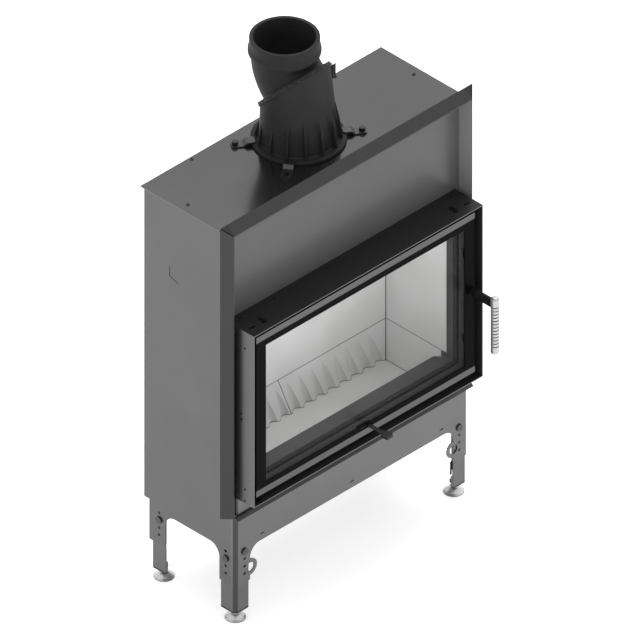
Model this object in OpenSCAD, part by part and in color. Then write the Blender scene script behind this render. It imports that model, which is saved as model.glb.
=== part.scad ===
// Wood burning fireplace insert: sheet steel casing on telescopic legs, flared facade frame, deep door
// surround with a side hung glass door, brick lined firebox and a cast flue adaptor that turns.
// Drawn with x across the front, y back from the front edge of the facade frame and z up from the floor.

/* [Casing] */
// Width over the casing sides
case_w = 915; // [890:5:930]
// Back of the casing, from the front edge of the facade frame
case_back = 363; // [350:1:380]
// Height of the top plate's upper face
case_top = 1323; // [1300:1:1340]
// Sheet thickness of the casing
sheet = 3; // [2:0.5:3.5]
// Overhang of the top plate past each side
top_overhang = 15; // [8:1:20]

/* [Facade frame] */
// Width across the front edges of the frame
frame_w = 937; // [935:1:945]
// Height of the frame's front top edge
frame_top = 1329; // [1326:1:1350]
// Height of the frame's lower end
frame_bottom = 369; // [360:1:380]
// Outward and backward run of the 45 degree flare
frame_flare = 27; // [15:1:30]
// Depth of the front plate behind the frame's front edge
plate_y = 50; // [48:1:53]

/* [Door surround] */
// Outer width of the door surround
collar_w = 899; // [890:1:905]
// Outer height of the door surround
collar_h = 583; // [580:1:590]
// Height of the surround's upper face
collar_top = 1009; // [1006:1:1015]
// How far the surround stands out of the facade frame
collar_reach = 60; // [55:1:70]

/* [Door] */
// Gap between the door and the surround, all round
door_gap = 17.6; // [16:0.2:19]
// How far the door's face lies inside the surround
door_inset = 11; // [9:0.5:14]
// Thickness of the door frame
door_t = 42; // [38:1:44]
// Black margin left and right of the clear pane
bezel_side = 38; // [34:1:42]
// Height of the brushed trim strips
trim_h = 20; // [16:1:22]
// Black margin between the upper trim strip and the clear pane
bezel_top = 21; // [16:1:26]
// Black margin between the lower trim strip and the clear pane
bezel_bottom = 16; // [14:0.5:20]
// Thickness of the pane
glass_t = 4; // [3:0.5:5]
// Radius of the hinge pins
hinge_pin_r = 4; // [3:0.5:4.5]

/* [Handle] */
// Height of the handle's turning axis
handle_z = 726; // [690:1:760]
// Distance of the handle's turning axis from the middle of the door
handle_x = 417; // [415:0.5:418]
// Distance of the grip's middle in front of the facade frame
grip_reach = 139.5; // [125:0.5:150]
// Length of the grip
grip_len = 190; // [170:1:210]
// Diameter of the grip
grip_d = 24; // [20:0.5:28]
// Number of grooves round the grip
groove_count = 13; // [9:1:15]

/* [Air slide] */
// Length of the slot for the air lever
slot_len = 48; // [40:1:60]
// Rest position of the lever from the middle of the door
lever_x = 14; // [8:1:16]
// How far the lever stands out in front of the door
lever_reach = 94; // [80:1:100]

/* [Firebox] */
// Clear width of the firebox mouth
mouth_w = 801; // [795:1:805]
// Width between the side lining slabs
hearth_w = 806; // [802:1:808]
// Front face of the back lining, from the front edge of the facade frame
hearth_back = 275; // [262:1:285]
// Height of the hearth floor
hearth_floor = 338; // [334:1:345]
// Thickness of the lining slabs
brick = 30; // [25:1:31]
// Sideways lean of the flutes in the lower back slabs, degrees
flute_lean = 20.6; // [15:0.1:24]
// Spacing of the flutes
flute_pitch = 46; // [40:1:60]

/* [Legs] */
// Height of the lower end of the outer legs
leg_bottom = 127.5; // [120:0.5:140]
// Width of a front leg seen from the front
leg_front_w = 58; // [54:1:66]
// Width of a leg seen from the side
leg_side_w = 63; // [60:1:68]
// Height of the arches between the legs
arch_top = 240; // [236:1:250]
// Lower end of the telescopic inner legs
inner_bottom = 33; // [30:1:40]
// Half the travel of the inner legs
leg_travel = 25; // [10:1:25]
// Diameter of the foot discs
foot_d = 60; // [50:1:66]

/* [Flue] */
// Distance of the flue axis behind the facade frame's front edge
flue_y = 214; // [205:1:216]
// Outer diameter of the spigot that takes the flue pipe
spigot_d = 198; // [190:1:202]
// Height of the spigot's rim
rim_top = 1643; // [1635:1:1660]
// Outer diameter of the foot flange
foot_flange_d = 269; // [262:1:274]
// Outer diameter of the lower casting's flange on the 45 degree cut
cut_flange_d = 236; // [232:1:242]
// Wall thickness of the castings
cast_wall = 7; // [6:0.5:9]

/* [Hidden] */

// clearances and cuts
seat = 0.3;
run_fit = 0.05;
over = 1;
root2 = sqrt(2);
round_fn = 64;
small_fn = 24;
hull_fn = 48;

// casing
in_x = case_w / 2 - sheet;
skirt_y = 4.8;
corner_cut = 9.5;
corner_return = 10;
side_start = skirt_y + corner_cut + corner_return + seat;
flange_w = 20;
back_bottom = 262;
plate_back = plate_y + sheet;
back_leg_inset = 20.3;
back_leg_y = case_back - back_leg_inset;
arch_r = 38;
skirt_top = collar_top - collar_h - seat;
wall_shell = 4;
base_z = hearth_floor - brick - wall_shell - seat - sheet - seat;
lance = 33;
lance_w = 2.5;
lance_y_share = 0.72;
lance_z = 1076;
lance_drop = 12;
mitre_gap = 2.5;
lip_reach = 9;
lip_t = 2;
lip_margin = 4.5;
lip_w = frame_w - 2 * lip_margin;

// lifting eyes, leg holes and the small slots of the skirt
eye_r = 27;
eye_hole_r = 15;
eye_z = 170;
hole_r = 5;
hole_pitch = 25;
hole_first = 159;
hole_count = 4;
leg_hole_u = 36.4;
leg_hole_w = 38.5;
bolt_r = 5;
bolt_hole_r = 5.3;
bolt_head_r = 11;
bolt_head_t = 4;
front_bolt_row = 3;
side_bolt_row = 2;
tab_slot_x_share = 0.77;
tab_slot_len = 14;
tab_slot_h = 5;
tab_slot_depth = 2;
tab_slot_rise = 22;
tab_slot_z = arch_top + tab_slot_rise;

// legs: u and w count inwards from the outer corner of the casing
leg_out = sheet + seat;
leg_t = 4;
guide_out = leg_out + leg_t + seat;
guide_t = 3;
guide_u = 52;
guide_w = 58;
leg_u = 55;
leg_w = 60;
foot_u = 28.9;
leg_top = base_z - leg_travel - 2 * seat;
slot_under = 11;
slot_over = 16;
foot_plate_t = 6;
foot_boss_r = 12;
leg_tab_len = 10;
leg_tab_h = 43;
stud_r = 6;
stud_len = 38;
stud_top = inner_bottom + stud_len;
collar_ring_r = 8.5;
collar_ring_h = 2;
nut_r = 10;
nut_h = 7;
disc_t = 2.5;
dome_low_r = 24;
dome_low_z = 6;
dome_mid_r = 15;
dome_mid_z = 14;
dome_top_r = 11;
dome_top_z = 17;
boss_top_z = 20;

// firebox
shell_x = hearth_w / 2 + brick + wall_shell;
shell_back = hearth_back + brick + seat + wall_shell;
shell_top = 1204;
frame_y = 8;
jamb_w = 36.2;
frame_x = mouth_w / 2 + jamb_w;
neck_x = frame_x + seat;
ring_back = 34;
return_step = 8.5;
sill_t = 3;
sill_depth = 49.5;
sill_cut = 22;
joint_h = 6;
gap_brick = 0.3;
baffle_z = 1060;
baffle_front = 120;
front_brick_top = 438;
smoke_r = 102;
inlet_r = 62.5;
inlet_t = 2;
inlet_z = 245;
flute_r = 16;
flute_depth = 12;
flute_plain = 25;
slant_foot = 33;

// door, all from the surround
collar_bottom = collar_top - collar_h;
door_w = collar_w - 2 * sheet - 2 * door_gap;
door_z0 = collar_bottom + sheet + door_gap;
door_z1 = collar_top - sheet - door_gap;
door_front = door_inset - collar_reach;
door_back = door_front + door_t;
lip_front = 4;
clear_x = door_w / 2 - bezel_side;
clear_z0 = door_z0 + trim_h + bezel_bottom;
clear_z1 = door_z1 - trim_h - bezel_top;
ret_x = clear_x + return_step;
ret_z0 = clear_z0 - return_step;
ret_z1 = clear_z1 + return_step;
trim_t = 1.2;
glass_side = return_step - 2 * seat;
glass_bottom_lap = 4;
mouth_z0 = ret_z0;
mouth_z1 = ret_z1;
seal_w = 9;
seal_gap = 0.3;
clip_len = 24;
clip_t = 2;
clip_in = 7.5;
hinge_x = -(door_w / 2 + door_gap / 2);
hinge_setback = 6.3;
hinge_y = door_front + hinge_setback;
ear_r = 7;
ear_t = 4;
ear_len = 40;
ear_gap = 0.3;
bracket_t = 4;
bracket_w = 34;
pin_tail = 3;

// air slide
slot_h = 9.5;
slot_x = 4;
slot_drop = 1.5;
slot_z = clear_z0 - glass_bottom_lap - slot_drop - slot_h;
stem_w = 12;
stem_t = 4;
pocket_len = 180;
pocket_h = 11;
pocket_t = 8;
slide_len = 110;
slide_t = 3;
knob_w = 26;
knob_d = 22;
knob_h = 9;
knob_r = 5;
stem_z = slot_z + slot_h / 2;

// handle
shaft_r = 6;
tail_r = 4;
arm_t = 8;
arm_h = 28;
boss_r = 13;
boss_t = 6;
grip_y = -grip_reach;
core_r = 5;
grip_rise = 24;
grip_top = handle_z + grip_rise;
groove_pitch = 11;
groove_r = 1.6;
cap_len = 30;
end_round = 7;
smooth_share = 0.2;
cam_t = 5;
cam_reach = 24;
cam_w = 9;
cam_hub_r = 6.8;
keeper_t = 3;
keeper_lap = 10;
keeper_h = 18;
keeper_play = 1;
keeper_drop = 11;
keeper_screw_step = 9.5;
keeper_edge = 6;
keeper_foot = 9;

// flue castings
flange_t = 9;
base_r = 112;
cut_run = 16;
cut_drop = 142;
cut_y = flue_y + cut_run;
cut_z = rim_top - cut_drop;
cut_r = 114;
cut_flange_t = 6.5;
upper_r = 95.5;
upper_flange_r = cut_flange_d / 2 - 2 * over;
neck_run = 55;
neck_drop = 68;
neck_y = flue_y + neck_run;
neck_z = rim_top - neck_drop;
neck_r = 94;
rim_bore_r = 87.5;
bead_out = 4;
bead_r = spigot_d / 2 + bead_out;
bead_h = 14;
flare_h = 6;
throat_h = 4;
spigot_len = 30;
tail_len = 25;
tail_gap = 4;
rib_count = 14;
rib_turn = 16.1;
rib_t = 6;
rib_reach = 11;
rib_h = 76;
clamp_turn = 34.1;
clamp_out = 45.5;
clamp_reach = foot_flange_d / 2 + clamp_out;
clamp_grip = 10.5;
clamp_bend = 11.5;
clamp_ramp = 10;
clamp_tail = 12;
clamp_w = 30;
clamp_t = 4;
clamp_bolt_r = 5;
head_r = 9.2;
head_h = 10;
nut_in_r = 9.5;
nut_in_h = 7;

// screws
screw_r = 5.5;
screw_h = 3;
screw_shank_r = 2.5;
screw_hole_r = 2.8;
screw_len = 9;
top_screw_inset = 11;
top_screw_shares = [0.565];
back_screw_share = 0.616;
cheek_screw_z_shares = [0.0137, 0.0806, 0.904];
cheek_screw_in = 35;
cheek_pair_in = 48;
cheek_head_r = 3;
cheek_head_h = 2;
cheek_shank_r = 1.8;
cheek_hole_r = 2;
rivet_shares = [-0.92, -0.62, -0.16, 0.30, 0.76, 0.92];
rivet_y = 30;
rivet_r = 3.5;
rivet_h = 1.6;

// the origin lies under the middle of the whole object's box
reach_front = min(grip_y - grip_d / 2, -lever_reach - knob_d);
reach_back = max(case_back + screw_h, neck_y + bead_r);
mid_y = (reach_front + reach_back) / 2;

module at_home() translate([0, -mid_y, 0]) children();

// a flat drawing of x and z, thick along y from y0
module upright(y0, t) translate([0, y0 + t, 0]) rotate([90, 0, 0]) linear_extrude(t) children();

// a flat drawing of y and z, thick along x from x0
module sideways(x0, t) translate([x0, 0, 0]) rotate([90, 0, 90]) linear_extrude(t) children();

// a flat drawing of x and y, thick upwards from z0
module level(z0, t) translate([0, 0, z0]) linear_extrude(t) children();

module rect(x0, x1, y0, y1) translate([x0, y0]) square([x1 - x0, y1 - y0]);

module round_rect(x0, x1, y0, y1, r) {
    rect(x0 + r, x1 - r, y0, y1);
    rect(x0, x1, y0 + r, y1 - r);
    for (x = [x0 + r, x1 - r], y = [y0 + r, y1 - r]) translate([x, y]) circle(r, $fn = round_fn);
}

module both_sides() {
    children();
    mirror([1, 0, 0]) children();
}

module rod_y(x, z, y0, y1, r) translate([x, y1, z]) rotate([90, 0, 0])
    cylinder(h = y1 - y0, r = r, $fn = round_fn);

module rod_x(y, z, x0, x1, r) translate([x0, y, z]) rotate([0, 90, 0])
    cylinder(h = x1 - x0, r = r, $fn = round_fn);

module rod_z(x, y, z0, z1, r) translate([x, y, z0]) cylinder(h = z1 - z0, r = r, $fn = round_fn);

// arch between two legs, with round upper corners
module arch(a0, a1, top) {
    rect(a0, a1, -over, top - arch_r);
    rect(a0 + arch_r, a1 - arch_r, -over, top);
    for (a = [a0 + arch_r, a1 - arch_r]) translate([a, top - arch_r]) circle(arch_r, $fn = round_fn);
}

// casing

module side_outline() {
    difference() {
        polygon([[side_start, leg_bottom], [side_start, frame_bottom - seat],
            [plate_back + seat, frame_bottom - seat], [plate_back + seat, case_top - sheet - seat],
            [case_back, case_top - sheet - seat], [case_back, back_bottom],
            [back_leg_y, back_bottom], [back_leg_y, leg_bottom]]);
        arch(skirt_y + leg_side_w, back_leg_y - leg_side_w, arch_top);
        for (row = [0 : hole_count - 1], y = [skirt_y + leg_hole_w, back_leg_y - leg_hole_w])
            translate([y, hole_first + row * hole_pitch])
                circle(row == side_bolt_row ? bolt_hole_r : hole_r, $fn = small_fn);
        translate([case_back * lance_y_share, lance_z]) {
            rect(0, lance_w, -lance / 2, lance / 2);
            polygon([[lance_w, -lance / 2], [lance_w, lance_w - lance / 2],
                [-lance, lance_w - lance / 2 - lance_drop], [-lance, -lance / 2 - lance_drop]]);
        }
    }
}

module case_side(mirrored) {
    color([0.45, 0.45, 0.45]) at_home() mirror([mirrored, 0, 0]) {
        sideways(in_x, sheet) side_outline();
        difference() {
            translate([in_x - flange_w, plate_back + 2 * seat, case_top - 2 * sheet - seat])
                cube([flange_w + over, case_back - plate_back - 2 * sheet - flange_w, sheet]);
            for (share = top_screw_shares)
                rod_z(in_x - top_screw_inset, case_back * share, 0, case_top, screw_hole_r);
        }
    }
}

module case_side_left() case_side(1);

module case_side_right() case_side(0);

module case_back() {
    color([0.44, 0.44, 0.44]) at_home() difference() {
        union() {
            upright(case_back - sheet, sheet) difference() {
                rect(seat - in_x, in_x - seat, back_bottom, case_top - sheet - seat);
                for (row = [1 : vent_rows], side = [-1, 1])
                    translate([side * vent_x, back_bottom + row * vent_pitch])
                        round_rect(-vent_len / 2, vent_len / 2, -vent_h / 2, vent_h / 2, vent_h / 2 - seat);
            }
            translate([seat - in_x + flange_w, case_back - flange_w, case_top - 2 * sheet - seat])
                cube([2 * (in_x - seat - flange_w), flange_w - seat, sheet]);
        }
        for (side = [-1, 1])
            rod_z(side * case_w / 2 * back_screw_share, case_back - top_screw_inset, 0, case_top, screw_hole_r);
    }
}

vent_rows = 4;
vent_x = 210;
vent_pitch = 28;
vent_len = 260;
vent_h = 9;

module case_top() {
    color([0.42, 0.42, 0.42]) at_home() difference() {
        translate([-case_w / 2 - top_overhang, plate_back + seat, case_top - sheet])
            cube([case_w + 2 * top_overhang, case_back - plate_back - seat, sheet]);
        rod_z(0, flue_y, 0, case_top + over, smoke_r + 2 * seat);
        for (side = [-1, 1]) {
            for (share = top_screw_shares)
                rod_z(side * (in_x - top_screw_inset), case_back * share, 0, case_top + over, screw_hole_r);
            rod_z(side * case_w / 2 * back_screw_share, case_back - top_screw_inset, 0,
                case_top + over, screw_hole_r);
        }
        clamp_places() rod_z(clamp_reach, 0, 0, case_top + over, clamp_bolt_r + seat);
    }
}

module front_plate() {
    color([0.44, 0.44, 0.44]) at_home() upright(plate_y, sheet) difference() {
        union() {
            rect(sheet + seat - frame_w / 2, frame_w / 2 - sheet - seat, frame_bottom,
                frame_top - sheet - seat);
            rect(seat - in_x, in_x - seat, base_z + sheet + seat, frame_bottom + over);
        }
        rect(-neck_x - seat, neck_x + seat, mouth_z0 - brick, mouth_z1 + brick + seat);
    }
}

// the frame's section: outward run first, then depth
module frame_section() polygon([[-sheet, 0], [0, 0], [frame_flare, frame_flare],
    [frame_flare - sheet / root2, frame_flare + sheet / root2], [0, sheet * root2],
    [0, plate_y + sheet], [-sheet, plate_y + sheet]]);

module frame_section_upright() polygon([[0, -sheet], [0, 0], [frame_flare, frame_flare],
    [frame_flare + sheet / root2, frame_flare - sheet / root2], [sheet * root2, 0],
    [plate_y + sheet, 0], [plate_y + sheet, -sheet]]);

module facade_frame() {
    mitre = frame_flare + sheet;
    color([0.28, 0.28, 0.28]) at_home() difference() {
        union() {
            both_sides() intersection() {
                translate([frame_w / 2, 0, frame_bottom]) linear_extrude(frame_top + mitre - frame_bottom)
                    frame_section();
                upright(-over, plate_y + sheet + 2 * over) polygon([
                    [frame_w / 2 - mitre, frame_bottom], [frame_w / 2 - mitre, frame_top - mitre],
                    [frame_w / 2 + mitre, frame_top + mitre], [frame_w / 2 + mitre, frame_bottom]]);
            }
            intersection() {
                translate([0, 0, frame_top]) sideways(-frame_w / 2 - mitre, frame_w + 2 * mitre)
                    frame_section_upright();
                upright(-over, plate_y + sheet + 2 * over) polygon([
                    [-frame_w / 2 - mitre, frame_top + mitre], [frame_w / 2 + mitre, frame_top + mitre],
                    [frame_w / 2 - mitre, frame_top - mitre], [mitre - frame_w / 2, frame_top - mitre]]);
            }
        }
        both_sides() translate([frame_w / 2, -over, frame_top]) rotate([0, -45, 0])
            translate([sheet, 0, -mitre_gap / 2]) cube([2 * mitre, plate_y, mitre_gap]);
    }
}

module ash_lip() {
    top = frame_bottom - seat;
    color([0.33, 0.33, 0.33]) at_home() sideways(-lip_w / 2, lip_w) polygon([
        [skirt_y - seat, top], [0, top], [-lip_reach, top - lip_reach],
        [-lip_reach + lip_t / root2, top - lip_reach - lip_t / root2],
        [lip_t / root2, top - lip_t], [skirt_y - seat, top - lip_t]]);
}

// one folded corner: offset d from the outer faces, arms of length u along x and w along y
function fold(d, u, w) = [[u, d], [corner_cut + d * (root2 - 1), d], [d, corner_cut + d * (root2 - 1)], [d, w]];

function reversed(list) = [for (i = [len(list) - 1 : -1 : 0]) list[i]];

module fold_ring(d, t, u, w) polygon(concat(fold(d, u, w), reversed(fold(d + t, u, w))));

// puts a corner drawing of u and w at each corner of the casing
module corner_place(x_side, back) translate([x_side * case_w / 2, back ? back_leg_y : skirt_y, 0])
    mirror([x_side > 0 ? 1 : 0, 0, 0]) mirror([0, back ? 1 : 0, 0]) children();

module base_skirt() {
    leg_edge = case_w / 2 - leg_front_w;
    color([0.45, 0.45, 0.45]) at_home() difference() {
        union() {
            difference() {
                for (side = [-1, 1]) corner_place(side, false)
                    level(leg_bottom, skirt_top - leg_bottom)
                        fold_ring(0, sheet, case_w / 2, corner_cut + corner_return);
                upright(-over, plate_y) arch(-leg_edge, leg_edge, arch_top);
                translate([-case_w, skirt_y + sheet + over, frame_bottom])
                    cube([2 * case_w, plate_y, case_w]);
            }
            for (side = [-1, 1]) rod_y(side * leg_edge, eye_z, skirt_y, skirt_y + sheet, eye_r);
        }
        for (side = [-1, 1]) {
            rod_y(side * leg_edge, eye_z, skirt_y - over, skirt_y + sheet + over, eye_hole_r);
            for (row = [0 : hole_count - 1])
                rod_y(side * (case_w / 2 - leg_hole_u), hole_first + row * hole_pitch, skirt_y - over,
                    skirt_y + sheet + over, row == front_bolt_row ? bolt_hole_r : hole_r);
        }
        upright(skirt_y - over, over + tab_slot_depth) for (side = [-1, 0, 1])
            translate([side * case_w / 2 * tab_slot_x_share, tab_slot_z])
                round_rect(-tab_slot_len / 2, tab_slot_len / 2, -tab_slot_h / 2, tab_slot_h / 2,
                    tab_slot_h / 2 - seat);
    }
}

module base_plate() {
    color([0.40, 0.40, 0.40]) at_home() difference() {
        translate([seat - in_x, skirt_y + sheet + seat, base_z])
            cube([2 * (in_x - seat), case_back - 2 * sheet - skirt_y - 2 * seat, sheet]);
        rod_z(0, flue_y, 0, case_top, inlet_r - inlet_t);
        for (side = [-1, 1]) corner_place(side, false) level(base_z - over, sheet + 2 * over)
            polygon([[0, 0], [corner_cut + leg_out * root2, 0], [0, corner_cut + leg_out * root2]]);
    }
}

module leg_guides() {
    color([0.36, 0.36, 0.36]) at_home() for (side = [-1, 1], back = [false, true])
        corner_place(side, back) difference() {
            level(leg_bottom + guide_t, base_z - seat - leg_bottom - guide_t)
                fold_ring(guide_out, guide_t, guide_u, guide_w);
            leg_slots(slot_over);
        }
}

// long slots behind the rows of holes, ending above the last hole
module leg_slots(above) {
    sideways(0, guide_out + 2 * guide_t) slot_outline(leg_hole_w, above);
    upright(0, guide_out + 2 * guide_t) slot_outline(leg_hole_u, above);
}

module slot_outline(a, above) round_rect(a - bolt_hole_r, a + bolt_hole_r, hole_first - slot_under,
    hole_first + (hole_count - 1) * hole_pitch + above, bolt_hole_r - seat);

// door surround and firebox front

module door_surround() {
    color([0.16, 0.16, 0.16]) at_home() difference() {
        translate([-collar_w / 2, -collar_reach, collar_bottom])
            cube([collar_w, collar_reach + plate_y - seat, collar_h]);
        translate([sheet - collar_w / 2, -collar_reach - over, collar_bottom + sheet])
            cube([collar_w - 2 * sheet, collar_reach + plate_y + 2 * over, collar_h - 2 * sheet]);
        for (side = [-1, 1]) {
            cheek_places(side) rotate([0, side * 90, 0])
                cylinder(h = 4 * sheet, r = cheek_hole_r, center = true, $fn = small_fn);
            upright_slots(side);
        }
        for (share = rivet_shares)
            rod_z(share * collar_w / 2, rivet_y, collar_top - 2 * sheet, collar_top + over, rivet_r / 2 + seat);
    }
}

// single screws and the keeper's pair in one cheek, the same on both sides so the door can hang either way
module cheek_places(side) {
    for (share = cheek_screw_z_shares)
        translate([side * collar_w / 2, cheek_screw_in - collar_reach, collar_bottom + collar_h * share])
            children();
    pair_places(side) children();
}

module pair_places(side) for (step = [-keeper_screw_step, keeper_screw_step])
    translate([side * collar_w / 2, cheek_pair_in - collar_reach, handle_z - keeper_drop + step]) children();

// slots and fixing holes of the hinge bracket, the same at both upper corners so the door can hang either way
slot_arc_in = 28.5;
slot_arc_x = collar_w / 2 - slot_arc_in;
slot_arc_y = -24;
slot_arc_len = 24;
slot_arc_w = 8;
slot_hole_step = 46;
slot_hole_r = 4;

module upright_slots(side) translate([side * slot_arc_x, slot_arc_y, 0]) {
    level(collar_top - 2 * sheet, 3 * sheet)
        round_rect(-slot_arc_len / 2, slot_arc_len / 2, -slot_arc_w / 2, slot_arc_w / 2, slot_arc_w / 2 - seat);
    for (y = [-slot_hole_r, 3 * slot_hole_r])
        rod_z(-side * slot_hole_step, y, collar_top - 2 * sheet, collar_top + over, slot_hole_r);
}

module front_frame() {
    color([0.28, 0.28, 0.28]) at_home() upright(frame_y, ring_back - frame_y) difference() {
        rect(-frame_x, frame_x, mouth_z0 - brick + seat, mouth_z1 + brick);
        rect(-mouth_w / 2, mouth_w / 2, mouth_z0 - sill_t - seat, mouth_z1);
    }
}

module hearth_sill() {
    half = mouth_w / 2 - seat;
    back = frame_y + sill_depth;
    color([0.30, 0.30, 0.30]) at_home() level(mouth_z0 - sill_t, sill_t) polygon([
        [-half, frame_y], [half, frame_y], [half, ring_back], [half - joint_h, ring_back],
        [half - joint_h - sill_cut, back], [joint_h + sill_cut - half, back],
        [joint_h - half, ring_back], [-half, ring_back]]);
}

module firebox_shell() {
    bottom = hearth_floor - brick - seat - wall_shell;
    neck_z0 = mouth_z0 - brick + seat;
    neck_z1 = mouth_z1 + brick;
    color([0.25, 0.25, 0.25]) at_home() difference() {
        union() {
            translate([-shell_x, plate_back + seat, bottom])
                cube([2 * shell_x, shell_back - plate_back - seat, shell_top - bottom]);
            translate([-neck_x, ring_back + seat, neck_z0])
                cube([2 * neck_x, plate_back, neck_z1 - neck_z0]);
        }
        translate([wall_shell - shell_x, plate_back + seat + wall_shell, bottom + wall_shell])
            cube([2 * (shell_x - wall_shell), shell_back - plate_back - seat - 2 * wall_shell,
                shell_top - bottom - 2 * wall_shell]);
        translate([wall_shell - neck_x, ring_back - over, neck_z0 + wall_shell])
            cube([2 * (neck_x - wall_shell), 2 * plate_back, neck_z1 - neck_z0 - 2 * wall_shell]);
        rod_z(0, flue_y, bottom - over, bottom + wall_shell + over, inlet_r - inlet_t);
        rod_z(0, flue_y, shell_top - 2 * wall_shell, shell_top + over, smoke_r);
    }
}

module ring_z(y, z0, z1, r_out, r_in) difference() {
    rod_z(0, y, z0, z1, r_out);
    rod_z(0, y, z0 - over, z1 + over, r_in);
}

module smoke_collar() color([0.24, 0.24, 0.24]) at_home()
    ring_z(flue_y, shell_top + seat, case_top - sheet - seat, smoke_r + wall_shell, smoke_r);

module air_inlet() color([0.5, 0.5, 0.5]) at_home() {
    ring_z(flue_y, inlet_z, base_z - seat, inlet_r, inlet_r - inlet_t);
    ring_z(flue_y, base_z - seat - inlet_t, base_z - seat, inlet_r + flange_w, inlet_r - over);
}

// lining

lining_x = hearth_w / 2;
lining_joint = mouth_z0 + joint_h;
lining_front_y = plate_back + seat + wall_shell + seat;

module lining_floor() color([0.68, 0.68, 0.66]) at_home()
    translate([seat - lining_x - brick, lining_front_y, hearth_floor - brick])
        cube([2 * (lining_x + brick - seat), hearth_back + brick - lining_front_y, brick]);

module lining_front() color([0.66, 0.66, 0.64]) at_home()
    translate([gap_brick - lining_x, lining_front_y, hearth_floor + gap_brick])
        cube([2 * (lining_x - gap_brick), brick, front_brick_top - hearth_floor]);

module lining_side_lower(mirrored) color([0.67, 0.67, 0.65]) at_home() mirror([mirrored, 0, 0])
    sideways(lining_x, brick - seat) rect(lining_front_y, hearth_back - gap_brick,
        hearth_floor + gap_brick, lining_joint - gap_brick);

module lining_side_upper(mirrored) color([0.69, 0.69, 0.67]) at_home() mirror([mirrored, 0, 0])
    sideways(lining_x, brick - seat) {
        rect(ring_back + 2 * seat, lining_front_y + over, lining_joint, mouth_z1 + brick - wall_shell - seat);
        rect(lining_front_y, hearth_back - gap_brick, lining_joint, baffle_z - gap_brick);
    }

module lining_left_lower() lining_side_lower(1);

module lining_right_lower() lining_side_lower(0);

module lining_left_upper() lining_side_upper(1);

module lining_right_upper() lining_side_upper(0);

module lining_back_upper() color([0.69, 0.69, 0.67]) at_home()
    upright(hearth_back, brick) rect(seat - lining_x - brick, lining_x + brick - seat,
        lining_joint + gap_brick, baffle_z - gap_brick);

// the joint between the two lower slabs leans like the flutes
lower_h = lining_joint - hearth_floor - gap_brick;
lean_run = lower_h * tan(flute_lean);
lean_top_x = slant_foot - lean_run;
left_flutes = floor((lining_x + slant_foot) / flute_pitch);
flute_tilt = atan(flute_depth / (lower_h - flute_plain) * cos(flute_lean));

// grooves that run out below the joint and grow deeper towards the floor
module flutes(x_from, x_to) {
    count = floor((x_to - x_from) / flute_pitch);
    for (i = [0 : count - 1])
        translate([x_from + (i + 1 / 2) * flute_pitch, hearth_back - flute_r + flute_depth, hearth_floor])
            rotate([flute_tilt, -flute_lean, 0])
                cylinder(h = 3 * lower_h, r = flute_r, center = true, $fn = round_fn);
}

module lining_back_lower_right() color([0.66, 0.66, 0.64]) at_home() difference() {
    upright(hearth_back, brick) polygon([
        [slant_foot + gap_brick, hearth_floor + gap_brick], [lining_x + brick - seat, hearth_floor + gap_brick],
        [lining_x + brick - seat, lining_joint], [lean_top_x + gap_brick, lining_joint]]);
    flutes(slant_foot, lining_x + brick);
}

module lining_back_lower_left() color([0.66, 0.66, 0.64]) at_home() difference() {
    upright(hearth_back, brick) polygon([
        [seat - lining_x - brick, hearth_floor + gap_brick], [slant_foot - gap_brick, hearth_floor + gap_brick],
        [lean_top_x - gap_brick, lining_joint], [seat - lining_x - brick, lining_joint]]);
    flutes(slant_foot - (left_flutes + 1) * flute_pitch, slant_foot);
}

module baffle() color([0.66, 0.66, 0.64]) at_home()
    translate([seat - lining_x - brick, baffle_front, baffle_z])
        cube([2 * (lining_x + brick - seat), hearth_back + brick - baffle_front, brick]);

// door

module door_frame() {
    color([0.09, 0.09, 0.09]) at_home() difference() {
        union() {
            upright(door_front, door_t) difference() {
                rect(-door_w / 2, door_w / 2, door_z0, door_z1);
                rect(-ret_x, ret_x, ret_z0, ret_z1);
            }
            upright(door_front, lip_front) difference() {
                rect(-door_w / 2 + over, door_w / 2 - over, door_z0 + over, door_z1 - over);
                rect(-clear_x, clear_x, clear_z0, clear_z1);
            }
            for (z = [door_z1 + seat, door_z0 - seat - ear_t]) level(z, ear_t) {
                translate([hinge_x, hinge_y]) circle(ear_r, $fn = round_fn);
                rect(hinge_x, hinge_x + ear_len, hinge_y - ear_r, hinge_y + ear_r);
            }
            for (z = [door_z1 - over, door_z0 - seat - over])
                translate([hinge_x + 2 * ear_r, hinge_y - ear_r + over, z])
                    cube([ear_len - 3 * ear_r, 2 * ear_r - 2 * over, seat + 2 * over]);
        }
        for (z = [door_z0, door_z1 - trim_h]) upright(door_front - over, over + trim_t)
            rect(-door_w, door_w, z - seat, z + trim_h + seat);
        rod_y(handle_x, handle_z, door_front - over, door_back + over, shaft_r + run_fit);
        rod_z(hinge_x, hinge_y, door_z0 - 2 * ear_r, door_z1 + 2 * ear_r, hinge_pin_r + run_fit);
        upright(door_front - over, door_t / 2) rect(slot_x - slot_len / 2, slot_x + slot_len / 2, slot_z,
            slot_z + slot_h);
        upright(door_front + lip_front, pocket_t) rect(slot_x - pocket_len / 2, slot_x + pocket_len / 2,
            stem_z - pocket_h / 2, stem_z + pocket_h / 2);
        for (side = [-1, 1]) rod_z(slot_x + side * pocket_len / 3, door_front + lip_front + pocket_t / 2,
            door_z0 - over, slot_z, pocket_t / 2 - seat);
    }
}

module door_glass() color([0.75, 0.78, 0.78, 0.35]) at_home()
    upright(door_front + lip_front + seat, glass_t) rect(-clear_x - glass_side, clear_x + glass_side,
        clear_z0 - glass_bottom_lap, clear_z1 + glass_side);

module door_trims() color([0.62, 0.62, 0.62]) at_home()
    for (z = [door_z0, door_z1 - trim_h]) upright(door_front, trim_t - seat)
        rect(-door_w / 2, door_w / 2, z, z + trim_h);

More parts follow.
